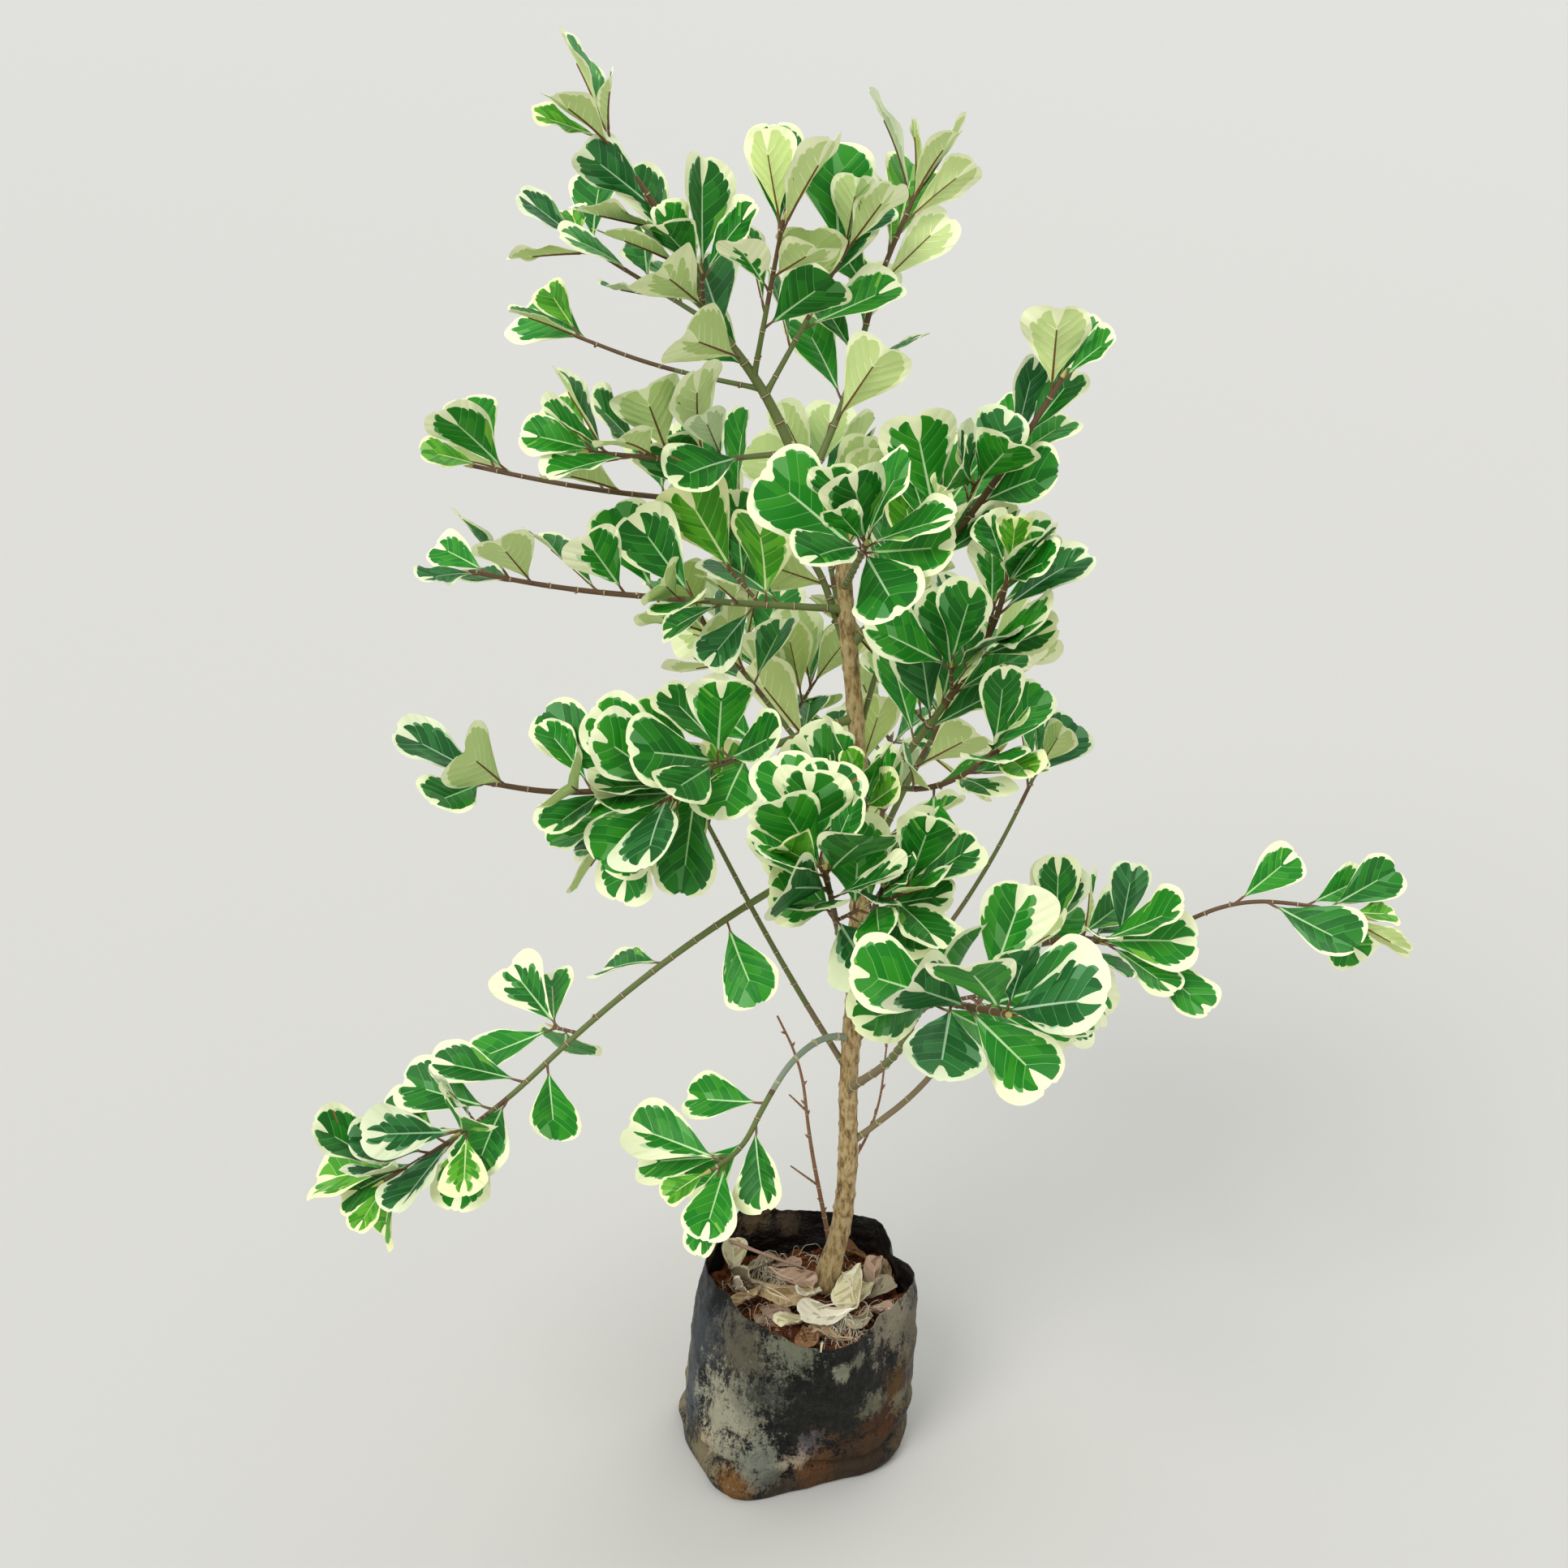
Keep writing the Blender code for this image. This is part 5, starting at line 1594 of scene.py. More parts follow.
    def twigs(self) -> None:
        """The side twigs and the pointed bud at every tip."""
        strands = []
        for mass in self.growth.masses:
            courses = [(self.growth.courses[mass.limb.name], mass.limb.tip)]
            for spur in mass.spurs:
                scars = self.scars(0.006, spur.length - 0.003, 0.007)
                strands.append(strand(spur, lambda _: 0.0013, lambda _: Bark.TWIG, scars))
                courses.append((spur, 0.0010))
            for course, wide in courses:
                point, tangent = course.at(course.length)
                tip = (tangent + Vector([self.rng.uniform(-0.25, 0.25) for _ in range(3)])).normalized()
                long = self.rng.uniform(0.007, 0.012)
                strands.append(Strand([point + tip * (long * along) for along, _ in self.BUD],
                                      [wide * share for _, share in self.BUD], [Bark.STALK] + [Bark.BUD] * 5))
        Stems("twigs_and_buds", "green_shoot", 7, 0.10).build(strands)

    def dead_wood(self) -> None:
        """The dead sucker with its side twigs and buds, and the dry twig on the trunk."""
        sucker, dry = self.growth.sucker, self.growth.dry_twig
        twigs = [Course(sucker.at(at)[0], ((length, bearing, rise),)) for at, bearing, rise, length in SUCKER_TWIGS]
        strands = []
        # Each one's radius and how much of it is lost, its first scar, where they end, their spacing and its step
        for course, root, loss, first, end, spacing, step in (
                (sucker, 0.0021, 0.0013, 0.012, 0.004, 0.016, 0.003),
                (dry, 0.0012, 0.0006, 0.012, 0.004, 0.014, 0.003),
                *((twig, 0.0010, 0.0004, 0.005, 0.003, 0.008, 0.002) for twig in twigs)):
            strands.append(strand(course, lambda d: root - loss * d / course.length, lambda _: Bark.DRY,
                                  self.scars(first, course.length - end, spacing), step))
        for course in (sucker, dry):
            for at in self.scars(0.018, course.length, 0.016):
                point, tangent = course.at(at)
                out = (course.spokes(at, 6)[self.rng.randrange(6)] + tangent).normalized()
                strands.append(Strand([point, point + out * 0.0028, point + out * 0.0050],
                                      [0.0011, 0.0009, 0.0002], [Bark.DRY] * 3))
        Stems("dead_wood", "dry_twig", 9, 0.22, (500.0, 500.0, 200.0)).build(strands, ["dead_sucker", "dry_twig"])

    def stalks(self, leaves: Sequence[Leaf]) -> None:
        """The leaf stalks, each thicker where it joins and bowed a little.

        Args:
            leaves: Every leaf of the crown.
        """
        strands = []
        for leaf in leaves:
            foot, bow = leaf.root + leaf.direction * STALK, leaf.normal * (0.05 * STALK)
            points = [leaf.root, leaf.root.lerp(foot, 0.25) - bow * 0.6, leaf.root.lerp(foot, 0.6) - bow,
                      foot - leaf.normal * 0.0003, foot + leaf.direction * 0.004 - leaf.normal * 0.0006]
            strands.append(Strand(points, [0.0014, 0.0010, 0.0009, 0.0008, 0.0003], [Bark.STALK] * 5))
        Stems("leaf_stalks", "green_shoot", 6, grain=(1.0, 1.0, 1.0)).build(strands)


def compass(values: Sequence[float], bearing: float) -> float:
    """A value at a bearing, on a smooth closed curve through values evenly round a circle.

    Args:
        values: The values, from +X by +Y.
        bearing: The bearing in degrees.

    Returns:
        The value.
    """
    place = (bearing % 360.0) / 360.0 * len(values)
    i = int(place)
    share = place - i
    a, b, c, d = (values[(i + k) % len(values)] for k in (-1, 0, 1, 2))
    return b + share * (c - a + share * (2 * a - 5 * b + 4 * c - d + share * (3 * (b - c) + d - a))) / 2


def apart(bearing: float, middle: float = 0.0) -> float:
    """How many degrees a bearing is past another, from -180 to 180."""
    return (bearing - middle + 180) % 360 - 180


@dataclass(frozen=True)
class GrowBag:
    """The black film bag, creased, torn along its rim and stained with dried mud.

    Args:
        bulge: How far its wall stands out half-way up.
        wall: The film's thickness as modelled.
        foot: How far its bottom edge is rounded.
        floor: How high its inner floor lies.
        proud: How far outside it the leaves keep.
        columns: How many columns of faces go round it.
        crease: Half the width of a crease round its foot.
        seam: The bearing of its welded seam at the rim, its half width in degrees, and its height.
        tab: The bearing of the torn tab, and its half width and height.
    """

    bulge: float = 0.004
    wall: float = 0.0007
    foot: float = 0.004
    floor: float = 0.024
    proud: float = 0.002
    columns: int = 180
    crease: float = 0.0038
    seam: tuple[float, float, float] = (251.0, 1.4, 0.0011)
    tab: tuple[float, float, float] = (112.0, 13.0, 0.008)

    # Large folds: bearing and half width in degrees, depth outwards, power of the height
    FOLDS = ((18.0, 8.0, -0.009, 3.0), (44.0, 7.0, 0.006, 1.5), (232.0, 9.0, 0.003, 1.0), (262.0, 10.0, -0.003, 1.2),
             (205.0, 8.0, -0.003, 1.6), (292.0, 9.0, 0.002, 0.8), (120.0, 12.0, -0.003, 1.2),
             (330.0, 8.0, -0.003, 1.4))
    # Crumples: how many to a metre, how much fewer upwards, depth
    CRUMPLES = ((17.0, 0.6, 0.0075), (36.0, 0.8, 0.0034), (80.0, 1.0, 0.0014), (170.0, 1.0, 0.0006))
    # Creases round the foot: height, sway and turns of it, swell
    CREASES = ((0.031, 0.006, 2.0, 0.0024), (0.023, 0.007, 3.0, -0.0044), (0.012, 0.004, 4.0, 0.0030),
               (0.042, 0.008, 3.0, -0.0020))

    def rim_height(self, bearing: float) -> float:
        """The height of the rim at a bearing, with the torn tab that stands up at its back."""
        middle, half, height = self.tab
        return compass(BAG_RIM_HEIGHTS, bearing) + height * max(0.0, 1 - (apart(bearing, middle) / half) ** 2)

    def radius(self, bearing: float, share: float) -> float:
        """The outer radius at a bearing, from the base at 0 to the rim at 1."""
        base = compass(BAG_BASE_RADII, bearing)
        return base + (compass(BAG_RIM_RADII, bearing) - base) * share + self.bulge * math.sin(math.pi * share)

    def coarse(self) -> list[list[Vector]]:
        """The solid's own rings, widened, for the leaves to stay clear of.

        Returns:
            The rings from the base to the rim.
        """
        rings = []
        for level in range(6):
            ring = []
            for bearing in even(0, 350, 35):
                height = self.rim_height(bearing) * level / 5
                wide = self.radius(bearing, height / self.rim_height(bearing)) + self.proud
                angle = math.radians(bearing)
                ring.append(Vector((wide * math.cos(angle), wide * math.sin(angle), height)))
            rings.append(ring)
        return rings

    def film(self, bearing: float, share: float, inset: float = 0.0) -> Vector:
        """A point of the creased film.

        Args:
            bearing: Its bearing in degrees.
            share: Its height, from the base at 0 to the torn rim at 1.
            inset: How far inside the outer surface it lies.

        Returns:
            The point.
        """
        angle = math.radians(bearing)
        flat = Vector((math.cos(angle), math.sin(angle), 0.0))
        edge = Vector((math.cos(angle), math.sin(angle), 0.3))
        torn = 0.0016 * abs(noise.noise(edge * 9)) + 0.0010 * abs(noise.noise(edge * 34))
        height = (self.rim_height(bearing) - torn) * share
        wide = self.radius(bearing, share) - inset
        for middle, half, depth, power in self.FOLDS:
            away = apart(bearing, middle) / half
            wide += depth * math.exp(-away * away) * share ** power
        place = flat * 0.085 + UP * height
        for scale, squeeze, depth in self.CRUMPLES:
            spot = Vector((place.x * scale, place.y * scale, place.z * scale * squeeze)) + flat.yzx * 0.4
            wide -= depth * (abs(noise.noise(spot)) - 0.12) * min(1.0, 0.35 + share * 1.4)
        for base, sway, turns, swell in self.CREASES:
            crease = (height - base - sway * math.sin(turns * angle + 40 * base)) / self.crease
            wide += swell * math.exp(-crease * crease) * (0.7 + noise.noise(flat * 2.3 + UP * base * 90))
        middle, half, proud = self.seam
        seam = apart(bearing - middle + 12 * (1 - share)) / half
        wide += proud * math.exp(-seam * seam)
        rounding = max(0.0, 1 - height / self.foot)
        wide -= self.foot * (1 - math.sqrt(max(0.0, 1 - rounding * rounding)))
        return flat * wide + UP * height

    def within(self, point: Vector, room: float) -> Vector:
        """Keeps a point inside the film.

        Args:
            point: The point.
            room: How far inside it has to be.

        Returns:
            The point itself, or the nearest place with that room.
        """
        bearing = math.degrees(math.atan2(point.y, point.x))
        share = point.z / self.rim_height(bearing)
        if share > 1.1:
            return point
        most = self.film(bearing, min(share, 0.97), self.wall + room)
        reach = math.hypot(point.x, point.y)
        wide = math.hypot(most.x, most.y)
        return point if reach < wide else Vector((point.x * wide / reach, point.y * wide / reach, point.z))

    def build(self) -> None:
        """The bag as one closed shell: sole, outer wall, torn rim, inner wall and floor."""
        bearings = even(0, 360, self.columns)[:-1]
        levels = [0.0, 0.004, 0.01, 0.02, 0.03] + even(0.045, 1.0, 66)
        outer = [[self.film(b, share) for b in bearings] for share in levels]
        inner = [[self.film(b, share, self.wall) for b in bearings] for share in reversed(levels[16:])]
        floor = [[Vector((p.x * 0.9, p.y * 0.9, self.floor)) for p in inner[-1]]]
        sole = [[Vector((p.x * s, p.y * s, 0.0)) for p in outer[0]] for s in (0.02, 0.35, 0.7, 0.9)]
        bed = [[Vector((p.x * s, p.y * s, self.floor)) for p in floor[0]] for s in (0.6, 0.02)]
        mesh = shaped("grow_bag_film", *skinned(sole + outer + inner + floor + bed), finishes=(FILM, FILM_INSIDE))
        outside = (len(sole) + len(outer)) * self.columns
        mesh.polygons.foreach_set("material_index", [int(min(face.vertices) >= outside) for face in mesh.polygons])
        piece("grow_bag_film", "black_polythene", mesh, ["grow_bag"], 38.0)


# Blown polythene: a plastic gloss where it is clean, matt where dust and rusty mud have dried on it and where its
# painted highlights and reflections lie
FILM = FilmFinish("blown polythene film, black, mud-stained", "070706", 0.34, grain=2.2, relief=0.5, gloss=0.2, stains=(
    # Painted reflections: the blue-grey patches 484E54 and 585F62 on the left side stand for the pale sky's sheen on
    # the gloss
    (0, 0, 70, 150, 10, "57543F"), (-69, -16, 103, 60, 50, "484E54"), (-79, -10, 51, 45, 60, "585F62"),
    (-41, -48, 111, 50, 75, "605A49"), (-1, -66, 122, 36, 75, "737460"), (-54, -55, 60, 56, 90, "9C9880"),
    # Painted highlights: the two narrow pale streaks high on the front right, 85846E and 7B7A66
    (-30, -66, 83, 40, 60, "55564A"), (36, -68, 105, 13, 80, "85846E"), (48, -61, 110, 12, 75, "7B7A66"),
    (76, -33, 130, 50, 90, "8A816C"), (90, -10, 105, 52, 80, "6F6854"), (78, -36, 72, 30, 80, "5E4422"),
    (70, -44, 42, 42, 85, "4E2C10"), (82, -30, 55, 20, 70, "857D62"), (60, -53, 68, 20, 60, "7A7760"),
    (22, -70, 14, 52, 90, "5E3E20"), (-43, -75, 13, 28, 75, "7A5428"), (-69, -42, 13, 42, 85, "7A6F54"),
    # Painted reflection: the faint blue-grey 646870 low on the front
    (-7, -74, 29, 13, 85, "A4937A"), (6, -73, 31, 13, 85, "A4937A"), (14, -73, 41, 20, 40, "646870"),
    (-25, -76, 30, 34, 80, "76786A"), (55, -53, 22, 36, 80, "5A3C20"), (-64, -46, 32, 18, 85, "AA9C7C"),
    (45, -60, 2, 36, 80, "57452C"), (-8, -75, 4, 30, 70, "3F382A"), (85, -20, 12, 40, 80, "5A4A33"),
    (48, -56, 10, 50, 90, "33261A"), (86, 30, 60, 90, 80, "71654A"), (40, 85, 110, 80, 75, "7C745A"),
    (-20, 88, 30, 70, 85, "69431C"), (-60, 60, 100, 70, 65, "585648"), (-84, 30, 30, 60, 80, "8A7E62"),
    (50, 80, 12, 50, 90, "7A4A1C"),
))
# Its inside, kept clean by the soil: black, with two patches of dried mud under the torn tab
FILM_INSIDE = FilmFinish("blown polythene film, inside, black", "0D0B09", 0.4, grain=2.2, relief=0.5, stains=(
    (-30, 70, 146, 26, 75, "6E5A3A"), (-6, 74, 144, 22, 60, "63513A"), (60, 50, 120, 30, 40, "3A2412"),
))
# Potting soil: fine brown fibre and crumb, matt and open
SOIL = MottledFinish("potting soil, fibrous and crumbly", "6A3418", 0.97, grain=0.9, relief=0.8, patch=7.0,
                     colours=("1C0C04", "431D0A", "6E3513", "9A5828", "5E4228"))


def soil_height(x: float, y: float) -> float:
    """The soil's mean surface: level round the trunk and the sucker, lumpy and lower towards the bag.

    Args:
        x: The place.
        y: The place.

    Returns:
        Its height.
    """
    away = min(math.hypot(x - foot[0], y - foot[1]) for foot in (TRUNK_FOOT, SUCKER_FOOT))
    share = min(max((away - SOIL_FLAT) / SOIL_FALL, 0.0), 1.0)
    lumps = 0.0025 * (math.sin(310 * x + 2 * math.sin(190 * y)) + math.cos(270 * y + 1.3))
    return SOIL_LEVEL + share * (lumps - 0.006)


@dataclass(frozen=True)
class Topsoil:
    """The soil's surface in the bag, and the crumbs on it.

    Args:
        bag: The bag that it fills.
        bottom: How far down its body goes.
        meets: How high it meets the film.
        rings: How many rings of faces its surface has.
        density: How many crumbs lie on a square metre.
    """

    bag: GrowBag
    bottom: float = 0.100
    meets: float = 0.114
    rings: int = 52
    density: float = 90000.0

    # Crumbs of peat and bark: dull specks from near black to orange-brown
    CRUMBS = (Finish("soil crumb, dark", "2E1508", 0.96, grain=0.6, relief=0.3),
              Finish("soil crumb, red-brown", "74350F", 0.96, grain=0.6, relief=0.3),
              Finish("soil crumb, orange-brown", "9C5A26", 0.94, grain=0.6, relief=0.3))

    def height(self, x: float, y: float) -> float:
        """The crumbly surface, with a dip before the trunk.

        Args:
            x: The place.
            y: The place.

        Returns:
            Its height.
        """
        spot = Vector((x, y, 0.0))
        rough = 0.0030 * noise.noise(spot * 70) + 0.0016 * noise.noise(spot * 190) + 0.0009 * noise.noise(spot * 420)
        away = math.hypot(x - TRUNK_FOOT[0], y - TRUNK_FOOT[1])
        dip = 0.004 * math.exp(-((math.hypot(x - 0.030, y - 0.010)) / 0.009) ** 2)
        return soil_height(x, y) + rough * min(1.0, away / 0.02) - dip

    def surface(self) -> Mesh:
        """The soil as one closed body with a crumbly top.

        Returns:
            Its mesh, marked where it is bed.
        """
        bearings = even(0, 360, 160)[:-1]
        edge = [self.bag.film(b, self.meets / self.bag.rim_height(b), 1.1 * MM) for b in bearings]
        rings = [[Vector((p.x * s, p.y * s, self.bottom)) for p in edge] for s in (0.03, 0.5, 0.985)]
        for level in range(self.rings):
            share = 1 - 0.985 * level / (self.rings - 1)
            row = []
            for point in edge:
                x, y = (foot + (at - foot) * share for foot, at in zip(TRUNK_FOOT, point))
                row.append(self.bag.within(Vector((x, y, self.height(x, y))), 0.4 * MM))
            rings.append(row)
        points, faces = skinned(rings)
        bed = [float(i >= 8 * len(bearings)) for i in range(len(points))]
        mesh = shaped("soil_surface", points, faces, finishes=(SOIL,), bed=("FLOAT", "POINT", bed))
        piece("soil_surface", "soil", mesh, ["soil"], 80.0)
        return mesh

    @staticmethod
    def crumb(number: int) -> Mesh:
        """One lumpy crumb, 1 in radius.

        Args:
            number: Its number, which its lumps follow.

        Returns:
            The mesh.
        """
        work = bmesh.new()
        bmesh.ops.create_icosphere(work, subdivisions=1, radius=1.0)
        for vert in work.verts:
            vert.co *= 0.75 + 0.6 * noise.noise(vert.co * 1.3 + Vector((number * 7.0, 0.0, 0.0)))
            vert.co.z *= 0.7
        mesh = bpy.data.meshes.new(f"crumb_{number}")
        work.to_mesh(mesh)
        work.free()
        return mesh

    def crumbs(self, ground: Mesh) -> None:
        """Crumbs scattered over the surface by Geometry Nodes.

        Args:
            ground: The soil's surface.
        """
        tree, start = new_tree("crumbs on soil", {"Crumbs": "Collection", "Density": "Float", "Seed": "Int"})
        normal = node(tree, "ShaderNodeSeparateXYZ", {"Vector": node(tree, "GeometryNodeInputNormal")})
        bed = node(tree, "GeometryNodeInputNamedAttribute", {"Name": "bed"}, data_type="FLOAT")
        open_top = node(tree, "ShaderNodeMath", {0: normal.outputs["Z"], 1: bed}, operation="MULTIPLY")
        top = node(tree, "FunctionNodeCompare", {"A": open_top, "B": 0.3}, operation="GREATER_THAN")
        spots = node(tree, "GeometryNodeDistributePointsOnFaces",
                     {"Mesh": start, "Selection": top, "Density": start.outputs["Density"],
                      "Seed": start.outputs["Seed"]})
        size, shade = (node(tree, "FunctionNodeRandomValue", {2: 0.0, 3: most, "Seed": seed}, data_type="FLOAT")
                       for most, seed in ((1.0, 3), (2.49, 8)))
        # Many fine crumbs and few coarse ones
        skewed = node(tree, "ShaderNodeMath", {0: size.outputs[1], 1: 3.0}, operation="POWER")
        scale = node(tree, "ShaderNodeMapRange", {"Value": skewed, "To Min": 0.0005, "To Max": 0.0026})
        turn = node(tree, "FunctionNodeRandomValue", {0: (0.0, 0.0, 0.0), 1: (6.28, 6.28, 6.28), "Seed": 5},
                    data_type="FLOAT_VECTOR")
        marked = node(tree, "GeometryNodeStoreNamedAttribute",
                      {"Geometry": spots, "Name": "shade", "Value": shade.outputs[1]}, data_type="FLOAT",
                      domain="POINT")
        shapes = node(tree, "GeometryNodeCollectionInfo", {"Collection": start.outputs["Crumbs"],
                                                           "Separate Children": True, "Reset Children": True})
        laid = node(tree, "GeometryNodeInstanceOnPoints", {"Points": marked, "Instance": shapes, "Pick Instance": True,
                                                           "Rotation": turn, "Scale": scale})
        ended(tree, laid, "shade", self.CRUMBS)
        repeated = gathered("crumbs", map(self.crumb, range(5)))
        piece("soil_crumbs", "soil", grown(ground.copy(), tree, {"Crumbs": repeated, "Density": self.density,
                                                                 "Seed": 11}), sharp=40.0)
        cleared(repeated)


class Dried(Enum):
    """How a fallen leaf has dried: the colours of its blade, its darker and paler patches, and its veins."""

    TAN = "B99E76 957751 CCB78E E0D0AC"
    GREY = "968A72 75684F AEA286 C6BBA0"
    CREAM = "DAD2AA BBAD80 E9E3C6 F1ECD8"
    WHITE = "DAD1B9 B4A78B EAE3CF F1ECDE"
    PINK = "B0927A 886B55 C5AD98 D6C4B0"
    RUST = "7C5636 583A20 997048 AE8A60"

    @functools.cache
    def finishes(self) -> list[Finish]:
        """Dead leaf: papery and matt, its veins standing out paler.

        Returns:
            The finish of each colour.
        """
        kinds = ("blade", "darker patch", "paler patch", "vein")
        return [Finish(f"dead leaf {kind}, {self.name.lower()}", colour, 0.85, grain=1.0, relief=0.18)
                for kind, colour in zip(kinds, self.value.split())]


@dataclass(frozen=True)
class FallenLeaf:
    """A dead leaf on the soil.

    Args:
        place: Where its middle lies, over the soil's surface.
        size: Its length and width.
        roll: How tightly it curls across, in radians from midrib to edge.
        arch: How far it arches along, in radians from end to end.
        bearing: Where its tip points, in degrees.
        pitch: How far its tip is raised, in degrees.
        heel: How far it leans to its side, in degrees.
        dried: How it has dried.
        kind: Which blade's outline it has.
    """

    place: tuple[float, float, float]
    size: tuple[float, float]
    roll: float
    arch: float
    bearing: float
    pitch: float
    heel: float
    dried: Dried
    kind: int

    # The room that it keeps inside the film
    ROOM = 0.0015
    # Which of its finishes each tissue wears, the blade's own if none is named
    SHADES = {Tissue.VEIN: 3, Tissue.THREAD: 3, Tissue.RIB: 3, Tissue.MID: 1, Tissue.SAGE: 1, Tissue.GREY: 2,
              Tissue.LIME: 2, Tissue.PALE: 2}

    @classmethod
    def of(cls, *row: int | str) -> "FallenLeaf":
        """A leaf from a row: its place and size in millimetres, its curls in tenths, its angles, and its kinds."""
        return cls(milli(*row[:3]), milli(*row[3:5]), row[5] / 10, row[6] / 10, *row[7:10], Dried[row[10]], row[11])

    def mesh(self, bag: GrowBag) -> Mesh:
        """The curled leaf, in place and within the bag.

        Args:
            bag: The bag.

        Returns:
            The mesh.
        """
        mesh = Blade(PATTERNS[self.kind], 300 + self.kind).mesh("fallen_leaf")
        long, wide = self.size
        turn = (Matrix.Rotation(math.radians(self.bearing - 90), 4, "Z")
                @ Matrix.Rotation(math.radians(self.pitch), 4, "X") @ Matrix.Rotation(math.radians(self.heel), 4, "Y"))
        middle = Vector((self.place[0], self.place[1], soil_height(*self.place[:2]) + self.place[2]))
        curl, bow = self.roll / (wide / 2), self.arch / long
        for vert in mesh.vertices:
            x, y, z = vert.co.x * wide, (vert.co.y - 0.5) * long, vert.co.z
            crumple = (0.0030 * noise.noise(Vector((x * 80, y * 80, self.kind * 3.0)))
                       + 0.0011 * noise.noise(Vector((x * 260, y * 260, self.kind * 3.0))))
            up = Vector((math.sin(x * curl) / curl, y, (1 - math.cos(x * curl)) / curl))
            depth = 1 / bow - up.z
            up = Vector((up.x, math.sin(y * bow) * depth, 1 / bow - math.cos(y * bow) * depth))
            vert.co = bag.within(turn @ (up + Vector((0.0, 0.0, z + crumple))) + middle, self.ROOM)
        for finish in self.dried.finishes():
            mesh.materials.append(finish.material())
        shown = [self.SHADES.get(item.value, 0) for item in mesh.attributes["tissue"].data]
        mesh.polygons.foreach_set("material_index", shown)
        return mesh


# Place, length, width, curl across and along, bearing, pitch and heel, how it has dried, and its outline
LITTER = tuple(FallenLeaf.of(*row) for row in (
    (-13, 1, 10, 58, 40, 5, 5, 318, 4, -6, "TAN", 3), (-41, 20, 14, 46, 28, 13, 5, 300, 14, -50, "GREY", 7),
    (-43, 10, 12, 42, 18, 8, 3, 284, 30, -60, "WHITE", 2), (-1, 14, 12, 40, 26, 19, 4, 336, -8, 12, "PINK", 5),
    (-21, -12, 6, 42, 30, 8, -5, 310, 2, 10, "PINK", 1), (14, -6, 12, 32, 24, 10, 6, 245, 20, 10, "WHITE", 8),
    (45, 8, 14, 48, 30, 11, -8, 258, -14, 22, "CREAM", 2), (47, -4, 6, 40, 26, 9, 7, 60, 8, -14, "CREAM", 6),
    (24, -26, 9, 44, 34, 6, 7, 196, 5, -6, "WHITE", 4), (4, -30, 6, 40, 28, 9, 5, 216, 4, 14, "CREAM", 11),
    (26, -45, 6, 36, 24, 11, 4, 170, 3, 18, "TAN", 9), (62, 24, 13, 34, 22, 15, 3, 76, 34, -20, "PINK", 6),
    (62, 6, 10, 36, 22, 13, 4, 20, 10, 18, "GREY", 0), (62, -11, 8, 32, 20, 12, 3, 340, 6, -22, "PINK", 9),
    (52, -24, 7, 36, 24, 10, 5, 250, 5, 12, "GREY", 14), (10, -48, 5, 32, 22, 9, 5, 280, 4, 20, "RUST", 10),
    (-46, 48, 18, 30, 24, 8, 3, 100, 64, 10, "CREAM", 11), (-26, 46, 7, 36, 24, 11, 5, 30, 6, -12, "GREY", 12),
    (-8, 44, 6, 32, 22, 9, 4, 350, 5, -10, "PINK", 15), (-34, -4, 8, 34, 22, 13, 5, 230, -8, 22, "TAN", 15),
    (46, 58, 6, 34, 22, 10, 5, 150, 5, 14, "RUST", 13), (70, 40, 6, 30, 20, 12, 4, 110, 8, 10, "TAN", 4),
))


